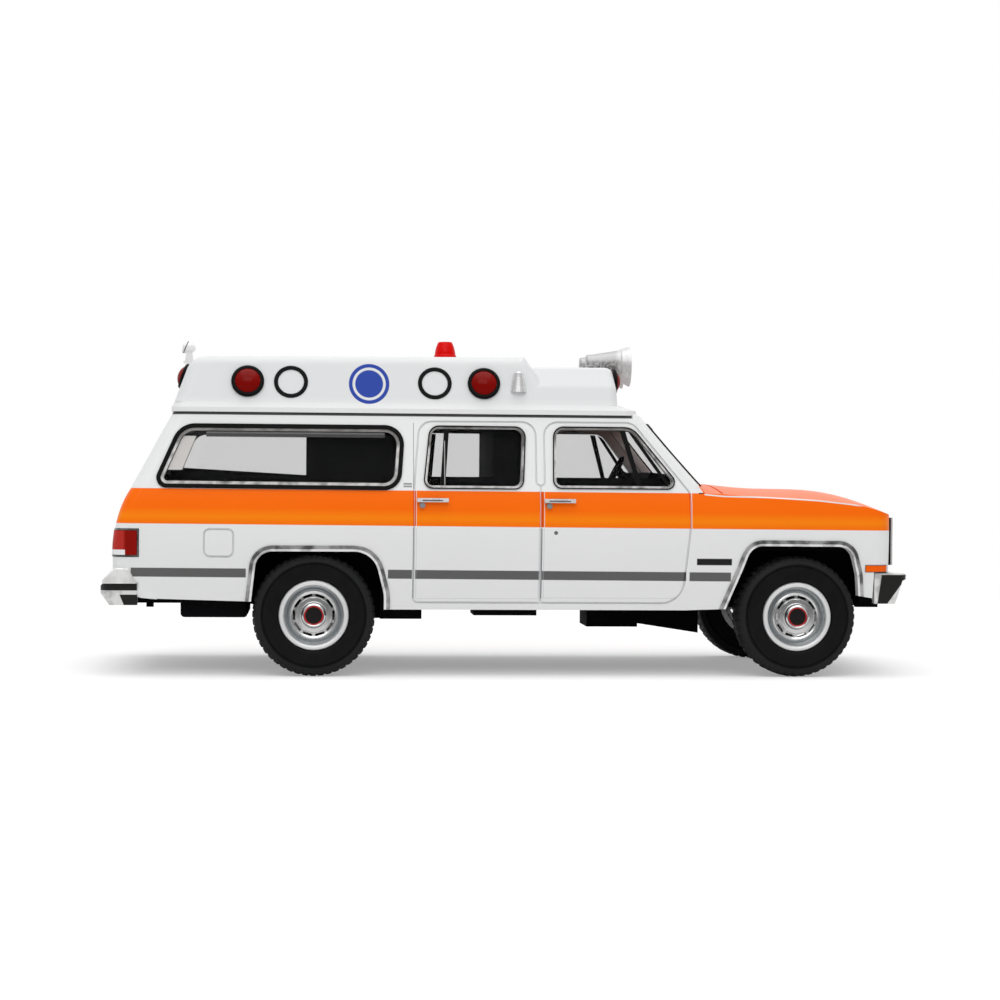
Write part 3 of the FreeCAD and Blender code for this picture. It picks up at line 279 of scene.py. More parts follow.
def soft_lamp(name, place, aim, size, watts):
    clear_selection()
    bpy.ops.object.light_add(type="AREA", location=place)
    lamp = bpy.context.object
    lamp.name = name
    lamp.data.shape = "RECTANGLE"
    lamp.data.size, lamp.data.size_y = size
    lamp.data.energy = watts
    lamp.rotation_euler = (Vector(aim) - Vector(place)).to_track_quat("-Z", "Y").to_euler()


soft_lamp("overhead_lamp", place=(0, -0.05, 0.50), aim=(0, 0, 0.01), size=(0.6, 0.45), watts=1.15)
soft_lamp("front_lamp", place=(-0.05, -0.50, 0.42), aim=(0, 0, 0.018), size=(0.6, 0.30), watts=0.95)


# Body casting.
# Die-cast metal under thick glossy white, with an orange band that is printed round the sides and
# over the hood, and a thin grey stripe low on the sides. The edges of the prints are a little soft.
rear_x = frame_box[0][0]
length = frame_box[1][0] - frame_box[0][0]
white_tones = ((0.80, 0.81, 0.81, 1), (0.84, 0.845, 0.845, 1))
side_start = (0.0125, 0.0003)
# Soft widths of the prints, from a crisp line to a wide edge
line_edge = 0.00004
shade_edge = 0.00005
print_edge = 0.00006
blunt_edge = 0.00008
wide_edge = 0.0001
# Lower and upper edges of the band and the stripe: each a height at the tail and one at the nose
band_low = (0.01602, 0.01570)
band_high = (0.01969, 0.01950)
band_tones = ((0.98, 0.145, 0.0006, 1), (1.0, 0.165, 0.001, 1))
stripe_low = (0.01046, 0.01012)
stripe_high = (0.01140, 0.01108)
stripe_spans = [(-0.03964, -0.0277), (-0.01285, -0.01032), (-0.01000, 0.00313), (0.00340, 0.01880),
                (0.01915, 0.0236)]
# The hood's part of the band starts at a line that leans back over the foot of the windscreen, and
# stays under one that rises steeply from there
hood_start = 0.0200
hood_lean = 0.65
hood_lean_height = 0.0205
cowl_height = 0.0201
cowl_rise = 3
# The fender crease carries a painted highlight, a white line where the band is left out: places
# along the model and heights. A ramp holds levels up to 1, so the heights go into it as shares of the
# last value
crease_line = [(0.0203, 0.01945), (0.0228, 0.01924), (0.0279, 0.01915), (0.0330, 0.01885),
               (0.0363, 0.01850), (0.0386, 0.01816), (0.0402, 0.01770)]
crease_half = 0.00007
crease_side = (0.0143, 0.0002)
crease_end = (0.0374, 0.0008)
crease_height_scale = 0.02


def coat_nodes(names, material):
    """Gives the CAD pieces of these names a material."""
    for name in names:
        nodes[name].data.materials[0] = material


def height_over(line, along, height):
    """How far a height lies over a line that runs evenly from the tail to the nose."""
    return height - ((along - rear_x) * ((line[1] - line[0]) / length) + line[0])


def patch(along, height, span, heights, soft):
    """1 inside a box that has a span along the model and two heights."""
    return along.within(*span, soft) * height.within(*heights, soft)


def lacquer(finish, colour, mottle, coat):
    """Thick lacquer over the printed colours, with the casting's slight unevenness."""
    return finish.surface({
        "Base Color": colour, "Roughness": 0.30 + 0.06 * mottle, "Coat Weight": coat,
        "Coat Roughness": 0.08, "Specular IOR Level": 0.1,
        "Normal": finish.bump(finish.noise(260.0, 1.0), 0.06, 0.00008),
    })


paint = new_finish("body_paint")
x = paint.axis("X")
z = paint.axis("Z")
side_reach = paint.axis("Y").size()
sides = side_reach.rises(*side_start)
mottle = paint.noise(70.0, 3.0)
mottle_mask = mottle.rises(0.5, 0.9)

ahead_of_screen = (x + (z - hood_lean_height) * hood_lean).rises(hood_start, print_edge)
under_cowl = (z - (x - hood_start) * cowl_rise).falls(cowl_height, print_edge)
hood = ahead_of_screen * under_cowl
over_band_low = height_over(band_low, x, z)
over_band_high = height_over(band_high, x, z)
band = over_band_low.rises(0, print_edge) * over_band_high.falls(0, print_edge).most(hood)
crease_stops = [((place - rear_x) / length, height / crease_height_scale) for place, height in crease_line]
crease_ramp = paint.add("ShaderNodeValToRGB", {"stops": crease_stops}, {0: (x - rear_x) * (1 / length)})
crease_highlight = (z - crease_ramp * crease_height_scale).size().falls(crease_half, print_edge)
# The band is left out along the crease, as a painted highlight
band = band * (1 - hood * crease_highlight * side_reach.rises(*crease_side) * x.falls(*crease_end))

# A painted highlight makes the band a little lighter along its lower part, where the side turns
# outwards: between two distances over its lower edge, and over a soft width
highlight_part = (0.0003, 0.0013, 0.0008)
highlight_orange = (1.0, 0.27, 0.004, 1)
orange = paint.blend(mottle_mask, *band_tones)
orange = paint.printed(orange, highlight_orange, over_band_low.within(*highlight_part), cover=0.7)

# The band is left out in white lines along the edges of the gaps between the doors, and painted
# shade makes the orange deeper inside them
gap_edges = [(0.00316, 0.00328), (0.01922, 0.01935), (-0.01014, -0.01006), (0.00358, 0.00365),
             (-0.00994, -0.00988)]
gap_shade_spans = [(0.00328, 0.00358), (-0.01006, -0.00994)]
gap_top = 0.0197
gap_edge_whiteness = 0.75
shaded_orange = (0.75, 0.085, 0.0004, 1)
orange = paint.printed(orange, shaded_orange, x.within_any(gap_shade_spans, line_edge), cover=0.8)
gap_lines = x.within_any(gap_edges, line_edge) * z.falls(gap_top, print_edge)
band = band * (1 - gap_lines * gap_edge_whiteness)
colour = paint.blend(band, paint.blend(mottle_mask, *white_tones), orange)

stripe = height_over(stripe_low, x, z).rises(0, print_edge)
stripe = stripe * height_over(stripe_high, x, z).falls(0, print_edge)
colour = paint.printed(colour, grey(0.125), stripe * x.within_any(stripe_spans, print_edge))

# Two air slots behind the rear door, with a faint shade between them
air_slot_heights = [(0.01996, 0.02008), (0.02026, 0.02040)]
air_shade_heights = (0.02, 0.0203)
air_shade = 0.45
air_slot_span = (-0.01127, -0.01038)
air_slots = z.within_any(air_slot_heights, line_edge)
air_slots = air_slots.most(air_shade * z.within(*air_shade_heights, line_edge))
air_slots = air_slots * x.within(*air_slot_span, shade_edge)
colour = paint.printed(colour, grey(0.10), air_slots * sides, cover=0.8)

# The doors' inner edges: faint lines above the sills, and upright ones beside the gaps
sill_lines = [((-0.00990, 0.00307), (0.00824, 0.00829)), ((0.00359, 0.01780), (0.00834, 0.00839))]
post_places = (-0.00990, 0.00305, 0.00358)
post_half = 0.00003
post_heights = (0.00825, 0.0157)
posts = [((place - post_half, place + post_half), post_heights) for place in post_places]
inner_edges = any_of([patch(x, z, *line, line_edge) for line in sill_lines + posts])
colour = paint.printed(colour, (0.42, 0.44, 0.47, 1), inner_edges * sides, cover=0.5)

# The gaps themselves lie in shadow, the rear one also above the band
gap_shadows = [(0.00330, 0.00340), (-0.01024, -0.01016)]
low_gap = (0.0083, 0.0157)
high_gap = (0.0198, 0.0268)
rear_half = x.falls(0, wide_edge)
gap_heights = z.within(*low_gap, shade_edge).most(z.within(*high_gap, shade_edge) * rear_half)
shadows = x.within_any(gap_shadows, line_edge) * gap_heights
colour = paint.printed(colour, (0.12, 0.14, 0.16, 1), shadows * sides, cover=0.7)

# A grey frame round the side marker, a plain dark bar on the fender and a lock in the front door
marker_span = (0.03800, 0.04060)
marker_heights = (0.01121, 0.01207)
bar_span = (0.0199, 0.02366)
bar_heights = (0.01192, 0.01262)
lock_place = (0.00484, 0.01526)
lock_radius = 0.00021
marker_frame = patch(x, z, marker_span, marker_heights, shade_edge)
colour = paint.printed(colour, (0.28, 0.32, 0.34, 1), marker_frame * sides, cover=0.65)
bar = patch(x, z, bar_span, bar_heights, blunt_edge)
colour = paint.printed(colour, grey(0.02), bar * sides)
lock = distance(x - lock_place[0], z - lock_place[1]).falls(lock_radius, blunt_edge)
colour = paint.printed(colour, grey(0.06), lock * sides, cover=0.9)

# Shadow line where the roof box laps over the casting
lap_heights = (0.02747, 0.02800)
lap_end = (0.0132, 0.0002)
lap_line = z.within(*lap_heights, shade_edge) * x.falls(*lap_end)
colour = paint.printed(colour, grey(0.008), lap_line, cover=0.95)
coat_nodes(["body_shell"], lacquer(paint, colour, mottle, 0.15 - 0.12 * band))


# Roof box.
# A part of its own under the same white paint, which sits on the casting. A plain blue roundel is
# printed on each side of its high hall, and painted shade makes those sides a little greyer than
# their edges.
roundel_place = (-0.01489, 0.03090)
roundel_radius = 0.00215
roundel_ring = (0.00148, 0.00176)
hall_side_start = (0.0095, 0.0002)
hall_side_heights = (0.0289, 0.0334, 0.0012)
roof_paint = new_finish("roof_paint")
roof_mottle = roof_paint.noise(70.0, 3.0)
roof_z = roof_paint.axis("Z")
hall_side = roof_paint.axis("Y").size().rises(*hall_side_start)
roof_tone = roof_paint.blend(roof_mottle.rises(0.5, 0.9), *white_tones)
# Painted shade on the flat sides of the hall
shaded_hall_side = roof_z.within(*hall_side_heights) * hall_side
roof_tone = roof_paint.printed(roof_tone, (0.73, 0.745, 0.75, 1), shaded_hall_side)
off_centre = distance(roof_paint.axis("X") - roundel_place[0], roof_z - roundel_place[1])
roundel = off_centre.falls(roundel_radius, print_edge) - off_centre.within(*roundel_ring, print_edge)
roof_tone = roof_paint.printed(roof_tone, (0.012, 0.050, 0.36, 1), roundel * hall_side)
coat_nodes(["roof_box"], lacquer(roof_paint, roof_tone, roof_mottle, 0.15))


# Glazing.
# One moulding of faintly smoked clear plastic that lines the cabin behind all the windows. On the
# side towards the camera its thick rear edge is painted pale as painted light, and a grey ledge runs
# along its top.
rear_edge_x = -0.03278
rear_edge_lean = 0.40
rear_edge_heights = (0.0216, 0.0252)
ledge_foot = 0.02516
ledge_step = 0.02550
ledge_top = 0.0258
ledge_span = (-0.0320, -0.0132)
near_side = (-0.0110, 0.0002)
edge_cover = 0.82
glass = new_finish("smoked_glass")
haze = glass.noise(40.0, 2.0)
glass_x = glass.axis("X")
glass_z = glass.axis("Z")
# Painted light: a pale patch along the thick rear edge
painted_light_edge = (glass_x + (ledge_top - glass_z) * rear_edge_lean).falls(rear_edge_x, blunt_edge)
painted_light_edge = painted_light_edge * glass_z.within(*rear_edge_heights, wide_edge)
ledge = patch(glass_x, glass_z, ledge_span, (ledge_foot, ledge_top), wide_edge)
ledge_tone = glass.blend(glass_z.rises(ledge_step, wide_edge), grey(0.055), grey(0.20))
glass_tone = glass.printed(grey(0.006), (0.61, 0.59, 0.57, 1), painted_light_edge)
glass_tone = glass.printed(glass_tone, ledge_tone, ledge)
edges = edge_cover * glass.axis("Y").falls(*near_side) * painted_light_edge.most(ledge)
coat_nodes(["glazing"], glass.surface({
    "Base Color": glass_tone, "Roughness": 0.03 + 0.03 * haze, "Alpha": 0.115 + 0.03 * haze + edges,
    "IOR": 1.49, "Specular IOR Level": 0.16,
}))


# Window trims.
# Silver foil print on the raised frames round the windows. It is worn all over, and painted shade
# makes it darker along the top.
foil_top_shade = (0.0246, 0.0012)
foil = new_finish("silver_foil")
streak = foil.noise(420.0, 4.0)
foil_tone = foil.blend(streak.within(0.40, 0.60, 0.22), grey(0.07), (0.58, 0.57, 0.56, 1))
# Painted shade darkens the top of the frames
foil_tone = foil.printed(foil_tone, (0.09, 0.085, 0.08, 1), foil.axis("Z").rises(*foil_top_shade), cover=0.75)
coat_nodes(["window_trims"], foil.surface({
    "Base Color": foil_tone, "Metallic": 0.75, "Roughness": 0.34 + 0.15 * streak,
}))


# Arch trims.
# The same foil round the wheel arches, on a flat band with a raised bead along its inner edge. A
# painted highlight makes the bead brighter, and painted shade darkens the band's mottled foil. The
# bead is told from the band by how far it stands out of the tapering side.
side_taper = 0.1185
bead_reach = (0.014308, 0.00004)
arch_foil = new_finish("arch_foil")
fleck = arch_foil.noise(650.0, 4.0)
bead = (arch_foil.axis("Y").size() - arch_foil.axis("Z") * side_taper).rises(*bead_reach)
shaded_flat_tone = arch_foil.blend(fleck.rises(0.5, 0.25), (0.13, 0.13, 0.135, 1), grey(0.58))
highlight_bead_tone = arch_foil.blend(fleck.rises(0.42, 0.2), grey(0.45), grey(0.92))
coat_nodes(["arch_trims"], arch_foil.surface({
    "Base Color": arch_foil.blend(bead, shaded_flat_tone, highlight_bead_tone), "Metallic": 0.5 - 0.35 * bead,
    "Roughness": 0.26 + 0.2 * fleck, "Normal": arch_foil.bump(fleck, 0.2, 0.00003),
}))


# Door handles and side lamps.
# Small parts of plated plastic that are pushed into the castings. Each handle on the sides has a
# slot along it that is darkened with painted shade, and a greyer knob under it.
handle_slot_spans = [(-0.00930, -0.00715), (0.00410, 0.00636)]
handle_slot_heights = (0.01852, 0.01868)
knob_top = 0.01838
knob_from = (-0.02, 0.001)
knob_cover = 0.6
handle = new_finish("handle_plating")
rub = handle.noise(900.0, 2.0)
handle_x = handle.axis("X")
handle_z = handle.axis("Z")
# Painted shade in the slot along each handle
handle_slot_shade = handle_x.within_any(handle_slot_spans, wide_edge)
handle_slot_shade = handle_slot_shade * handle_z.within(*handle_slot_heights, shade_edge)
knob = handle_z.falls(knob_top, print_edge) * handle_x.rises(*knob_from) * knob_cover
handle_tone = handle.blend(rub, grey(0.55), grey(0.90))
handle_tone = handle.printed(handle_tone, (0.14, 0.14, 0.15, 1), handle_slot_shade.most(knob))
coat_nodes(["door_handles", "bell_lamps"], handle.surface({
    "Base Color": handle_tone, "Metallic": 0.40, "Roughness": 0.22 + 0.1 * rub,
}))


# Floodlight.
# A lamp on a neck at the tail of the roof, of the same plastic but nearly white. A dark joint runs
# round its glass and leans as the lamp does.
joint_foot = -0.049803
joint_lean = 0.424
joint_half = 0.00006
joint_from = (0.0345, 0.0002)
flood = new_finish("floodlight_plating")
flood_grain = flood.noise(500.0, 2.0)
flood_z = flood.axis("Z")
off_joint = (flood.axis("X") - flood_z * joint_lean - joint_foot).size()
joint = off_joint.falls(joint_half, shade_edge) * flood_z.rises(*joint_from)
flood_tone = flood.blend(flood_grain, grey(0.82), grey(0.98))
flood_tone = flood.printed(flood_tone, grey(0.01), joint, cover=0.9)
coat_nodes(["floodlight"], flood.surface({
    "Base Color": flood_tone, "Metallic": 0.05, "Roughness": 0.18 + 0.08 * flood_grain,
}))


# Bumpers.
# Plated plastic bars that clip to the base. The rear one has a black strip all round and a black
# corner under it at each end, and the front one has rough black ends.
bumper_ends = (0.0146, 0.0002)
strip_heights = (0.00898, 0.00972)
corner_rear = -0.0408
corner_lean = 0.42
corner_top = 0.00856
# The front one's ends lie between two leaning lines, and a shelf along the top reaches forwards
end_heights = (0.00789, 0.01098)
end_rear = 0.03947
end_rear_lean = 0.14
end_front = 0.04055
end_front_lean = 0.727
shelf_height = 0.00988
shelf_front = 0.04262


def bumper_finish(name):
    """A finish, the places along and up in it, and a mask of the bumper's two ends."""
    finish = new_finish(name)
    end_face = finish.axis("Y").size().rises(*bumper_ends)
    return finish, finish.axis("X"), finish.axis("Z"), end_face


def plate_bumper(finish, dark_part):
    cloud = finish.noise(260.0, 3.0)
    dull = cloud.within(0.40, 0.50, 0.05)
    bright = finish.printed((0.93, 0.93, 0.92, 1), grey(0.40), dull, cover=0.6)
    return finish.surface({
        "Base Color": finish.printed(bright, (0.005, 0.0045, 0.004, 1), dark_part),
        "Metallic": 0.22 * (1 - dark_part), "Roughness": 0.16 + 0.35 * dark_part + 0.08 * cloud,
    })


rear_plating, along, height, end_face = bumper_finish("rear_bumper_plating")
strip = height.within(*strip_heights, print_edge)
corner = (along - (corner_top - height) * corner_lean).rises(corner_rear, blunt_edge)
corner = corner * height.falls(corner_top, print_edge) * end_face
coat_nodes(["rear_bumper"], plate_bumper(rear_plating, strip.most(corner)))

front_plating, along, height, end_face = bumper_finish("front_bumper_plating")
over_foot = height - end_heights[0]
shelf = height.rises(shelf_height, blunt_edge) * along.falls(shelf_front, print_edge)
rough_end = (along - over_foot * end_front_lean).falls(end_front, blunt_edge).most(shelf)
rough_end = rough_end * (along - over_foot * end_rear_lean).rises(end_rear, print_edge)
rough_end = rough_end * height.within(*end_heights, print_edge) * end_face
coat_nodes(["front_bumper"], plate_bumper(front_plating, rough_end))


# Grille.
# A plated frame with bars that is set into the nose and holds the headlamps. Its front edges are
# bright, and what lies behind them is black.
grille_front = 0.04143
grille_finish = new_finish("grille_plating")
bright_front = grille_finish.axis("X").rises(grille_front, print_edge)
coat_nodes(["grille"], grille_finish.surface({
    "Base Color": grille_finish.blend(bright_front, grey(0.006), grey(0.80)),
    "Metallic": 0.4 * bright_front, "Roughness": 0.14,
}))


# Siren horns.
# A twin horn of silver-painted plastic. Its tubes are greyer than its bells, and speckled along
# their lower halves.
tubes_end = (0.0128, 0.0008)
tubes_middle = (0.0339, 0.0005)
silver = new_finish("silver_paint")
flake = silver.noise(2600.0, 1.0)
tubes = silver.axis("X").falls(*tubes_end)
speckle = silver.noise(3200.0, 3.0).falls(0.5, 0.12) * silver.axis("Z").falls(*tubes_middle) * tubes
silver_tone = silver.blend(flake, grey(0.60), grey(0.84))
silver_tone = silver.printed(silver_tone, grey(0.50), tubes)
silver_tone = silver.printed(silver_tone, grey(0.08), speckle, cover=0.75)
coat_nodes(["siren_horns"], silver.surface({
    "Base Color": silver_tone, "Metallic": 0.35, "Roughness": 0.34 + 0.1 * flake,
    "Normal": silver.bump(flake, 0.15, 0.00003),
}))


# Base, wheel wells and interior.
# Mouldings of matt black plastic. The base closes the body from below and carries the axles, and the
# interior stands on it with the steering wheel.
black = new_finish("black_plastic")
speck = black.noise(1200.0, 2.0)
coat_nodes(["base_plate", "wheel_wells", "interior_tub", "steering_wheel"], black.surface({
    "Base Color": black.blend(speck, (0.0015, 0.0015, 0.002, 1), (0.005, 0.005, 0.006, 1)),
    "Roughness": 0.65 + 0.15 * speck, "Specular IOR Level": 0.05,
    "Normal": black.bump(speck, 0.08, 0.00003),
}))


# Lamp bezels and light rings.
# Raised rings on the roof box, round the warning lamps and along its sides. They are printed in
# glossy black.
gloss = new_finish("black_print")
gleam = gloss.noise(400.0, 2.0)
coat_nodes(["warning_lamp_bezels", "side_light_rings"], gloss.surface({
    "Base Color": gloss.blend(gleam, grey(0.002), grey(0.006)), "Roughness": 0.24 + 0.1 * gleam,
    "Specular IOR Level": 0.06,
}))


# Window seals.
# Matt rubber black print on a raised line round the windows. The seal of the windscreen ends at the
# foot of the glass, and the sliding window's divider has a painted highlight down its middle.
screen_foot = 0.0213
divider_span = (-0.00697, -0.00687)
divider_heights = (0.0201, 0.0249)
clear_selection()
seals = nodes["window_gaskets"].copy()
seals.data = nodes["window_gaskets"].data.copy()
seals.name = "window_seals"
bpy.context.collection.objects.link(seals)
seals.select_set(True)
bpy.context.view_layer.objects.active = seals
bpy.ops.object.mode_set(mode="EDIT")
bpy.ops.mesh.select_all(action="SELECT")
bpy.ops.mesh.remove_doubles(threshold=0.000001)
bpy.ops.mesh.bisect(plane_co=(screen_foot, 0, 0), plane_no=(1, 0, 0), clear_outer=True, use_fill=True)
bpy.ops.mesh.select_all(action="SELECT")
bpy.ops.mesh.normals_make_consistent(inside=False)
bpy.ops.object.mode_set(mode="OBJECT")
seal = new_finish("seal_black")
seal_tone = seal.blend(seal.noise(500.0), grey(0.0015), grey(0.005))
# A painted highlight down the middle of the divider
divider_highlight = seal.axis("X").within(*divider_span, line_edge)
divider_highlight = divider_highlight * seal.axis("Z").within(*divider_heights, wide_edge)
seals.data.materials[0] = seal.surface({
    "Base Color": seal.printed(seal_tone, grey(0.45), divider_highlight, cover=0.8), "Roughness": 0.30,
    "Specular IOR Level": 0.06,
})
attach(seals, "body")
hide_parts("window_gaskets")


# Axles and rivets.
# Drawn steel pins that carry the wheels and turn in the base, and the heads of the two rivets that
# hold the base to the body.
steel = new_finish("axle_steel")
drawn = steel.noise(900.0, 2.0, (1, 0.05, 1))
coat_nodes(["base_rivets", "front_axle", "rear_axle"], steel.surface({
    "Base Color": steel.blend(drawn, (0.42, 0.42, 0.43, 1), (0.62, 0.62, 0.63, 1)), "Metallic": 1.0,
    "Roughness": 0.25 + 0.15 * drawn,
}))


# Coloured lamps.
# Clear coloured plastic, pushed into the castings: dark red warning lamps, a brighter beacon, and
# amber and orange lamps at the front corners.
lens_gloss = {"Coat Weight": 0.12, "Coat Roughness": 0.05, "Specular IOR Level": 0.04}
lens_tones = {
    "warning_lamp_lenses": ("dark_red_lens", (0.17, 0.002, 0.001, 1), (0.26, 0.004, 0.002, 1)),
    "beacon": ("beacon_red", (0.62, 0.003, 0.003, 1), (0.76, 0.006, 0.005, 1)),
    "turn_lamps": ("amber_lens", (0.82, 0.16, 0.01, 1), (0.92, 0.24, 0.02, 1)),
    "side_markers": ("marker_orange", (0.90, 0.10, 0.002, 1), (0.98, 0.14, 0.004, 1)),
}
for node, (name, deep, bright) in lens_tones.items():
    lens = new_finish(name)
    cloud = lens.noise(300.0, 2.0)
    coat_nodes([node], lens.surface({
        "Base Color": lens.blend(cloud, deep, bright), "Roughness": 0.26 + 0.08 * cloud, **lens_gloss,
    }))


# Tail lamps.
# Red plastic in worn grey bezels at the rear corners. The lamps are lighter where they turn round
# the corner, and have a white part below.
corner_turn = (-0.0403, 0.0003)
white_part_front = -0.04022
white_part_top = 0.01325
tail = new_finish("tail_red")
tail_cloud = tail.noise(300.0, 2.0)
tail_x = tail.axis("X")
tail_tone = tail.blend(tail_cloud, (0.22, 0.004, 0.002, 1), (0.32, 0.008, 0.004, 1))
tail_tone = tail.printed(tail_tone, (0.62, 0.05, 0.04, 1), tail_x.falls(*corner_turn), cover=0.6)
white_part = tail_x.falls(white_part_front, print_edge) * tail.axis("Z").falls(white_part_top, print_edge)
coat_nodes(["tail_lamps"], tail.surface({
    "Base Color": tail.printed(tail_tone, (0.86, 0.86, 0.88, 1), white_part),
    "Roughness": 0.26 + 0.08 * tail_cloud, **lens_gloss,
}))
bezel = new_finish("tail_bezel_grey")
worn = bezel.noise(900.0, 3.0).rises(0.5, 0.3)
coat_nodes(["tail_lamp_bezels"], bezel.surface({
    "Base Color": bezel.blend(worn, grey(0.03), grey(0.26)), "Metallic": 0.3, "Roughness": 0.30,
}))


# Headlamps.
# Clear plastic with a silvered back, set into the grille's frame. Fine upright flutes are moulded
# into it.
clear = new_finish("clear_lens")
fluting = {"Vector": clear.place(), "Scale": 700.0}
flutes = clear.add("ShaderNodeTexWave", {"bands_direction": "Y"}, fluting)
coat_nodes(["headlamps"], clear.surface({
    "Base Color": clear.blend(flutes, (0.55, 0.56, 0.58, 1), (0.80, 0.81, 0.83, 1)), "Metallic": 0.6,
    "Roughness": 0.12 + 0.1 * flutes, "Coat Weight": 1.0, "Normal": clear.bump(flutes, 0.3, 0.00005),
}))


# Rims and hub caps.
# Silver plastic wheels with a white-bright lip and a bowl that painted shade turns bluish grey, and
# a hub cap that is printed with a red ring round black. Each part starts and ends at a radius.
bowl_radii = (0.00262, 0.00312)
cap_gap_radii = (0.00120, 0.00130)
lip_radius = 0.00315
red_ring_radii = (0.00088, 0.00104)
cap_edge = 0.00003
axles = {}
for end in ("front", "rear"):
    low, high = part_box(end + "_axle")
    axles[end] = (low + high) / 2


def from_axle(finish, centre):
    """The distance from the axle's line, in metres."""
    return distance(finish.axis("X") - centre.x, finish.axis("Z") - centre.z)


for end, centre in axles.items():
    rim = new_finish(end + "_rim_silver")
    radius = from_axle(rim, centre)
    soot = rim.noise(500.0, 2.0)
    lip = radius.rises(lip_radius, wide_edge)
    metal = rim.blend(soot, (0.78, 0.79, 0.79, 1), grey(0.88))
    # Painted shade in the bowl
    metal = rim.printed(metal, (0.50, 0.53, 0.55, 1), radius.within(*bowl_radii, wide_edge))
    metal = rim.printed(metal, grey(0.01), radius.within(*cap_gap_radii, cap_edge))
    rim.surface({
        "Base Color": metal, "Metallic": 0.85 - 0.6 * lip, "Roughness": 0.20 + 0.1 * soot + 0.15 * lip,
    })
    cap = new_finish(end + "_hub_print")
    cap_radius = from_axle(cap, centre)
    ring = cap_radius.within(*red_ring_radii, cap_edge)
    outer = cap_radius.rises(red_ring_radii[1], cap_edge)
    cap_tone = cap.blend(ring, (0.012, 0.010, 0.010, 1), (0.42, 0.012, 0.012, 1))
    cap_tone = cap.printed(cap_tone, (0.75, 0.75, 0.76, 1), outer)
    cap.surface({"Base Color": cap_tone, "Metallic": outer, "Roughness": 0.15 + 0.05 * cap.noise(600.0)})
    wheels = [end + "_left", end + "_right"]
    coat_nodes([wheel + "_rim" for wheel in wheels], rim.block)
    coat_nodes([wheel + "_hub_cap" for wheel in wheels], cap.block)


# Tyres.
# Soft black rubber rings pushed over the rims: a plain sidewall with a groove round it, a rounded
# shoulder and four rows of tread blocks, moulded in one piece.
low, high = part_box("front_left_tyre")
tyre_radius = (high.z - low.z) / 2
tyre_width = high.y - low.y
carcass_steps = 144
carcass_smooth = 50
crown = 0.980
# Half of the section, from the bead to the crown: shares of the radius, and of the width inwards
section = [
    (0.558, 0.14), (0.576, 0.135), (0.580, 0.02), (0.60, 0.004), (0.66, 0.0), (0.78, 0.004),
    (0.822, 0.010), (0.830, 0.030), (0.842, 0.030), (0.850, 0.012), (0.885, 0.018), (0.930, 0.045),
    (0.964, 0.10), (crown, 0.20), (crown, 0.485),
]
section += [(radius, 1 - inwards) for radius, inwards in reversed(section)]
# Each row of blocks: where it starts and ends across the width, its length round the tyre as a
# share of the pitch, and how far it is turned on as a share of the pitch
block_rows = [
    (0.045, 0.27, 0.70, 0.0), (0.315, 0.485, 0.68, 0.16), (0.515, 0.685, 0.68, 0.08),
    (0.73, 0.955, 0.70, 0.0),
]
block_count = 48
block_bevel = 0.00008
# The blocks reach below the crown by a share of the radius
block_sink = 0.05
# The outer rows drop towards the sidewalls: from a share of the width inwards, over another share
# of it, by a share of the radius
shoulder_start = 0.20
shoulder_width = 0.155
shoulder_drop = 0.045
# Where the tread's colour starts and where the bead's ends, in shares of the radius
tread_from = (0.868, 0.02)
bead_to = (0.590, 0.01)


def drawn_outline(places):
    """A new mesh in edit mode: a point that is drawn out from place to place and closed to a face."""
    clear_selection()
    bpy.ops.mesh.primitive_plane_add(size=0.001)
    bpy.ops.object.mode_set(mode="EDIT")
    bpy.ops.mesh.select_all(action="SELECT")
    bpy.ops.mesh.merge(type="CENTER")
    bpy.ops.transform.translate(value=places[0])
    for here, there in zip(places, places[1:]):
        step = Vector(there) - Vector(here)
        bpy.ops.mesh.extrude_vertices_move(TRANSFORM_OT_translate={"value": step})
    bpy.ops.mesh.select_all(action="SELECT")
    bpy.ops.mesh.edge_face_add()


def close_up(doubles):
    """Merges what lies together, turns the faces outwards and leaves edit mode."""
    bpy.ops.mesh.select_all(action="SELECT")
    bpy.ops.mesh.remove_doubles(threshold=doubles)
    bpy.ops.mesh.normals_make_consistent(inside=False)
    bpy.ops.object.mode_set(mode="OBJECT")
    return bpy.context.object


def turned_ring(points, steps):
    """A closed ring about the Y axis, drawn as an outline of radius and place and then spun."""
    drawn_outline([(0, place, radius) for radius, place in points])
    bpy.ops.mesh.delete(type="ONLY_FACE")
    bpy.ops.mesh.select_all(action="SELECT")
    bpy.ops.mesh.spin(steps=steps, angle=2 * math.pi, center=(0, 0, 0), axis=(0, 1, 0))
    return close_up(0.000002)


def joined(pieces):
    """The pieces as one, in the place of the first."""
    clear_selection()
    for piece in pieces:
        piece.select_set(True)
    bpy.context.view_layer.objects.active = pieces[0]
    bpy.ops.object.join()
    return pieces[0]


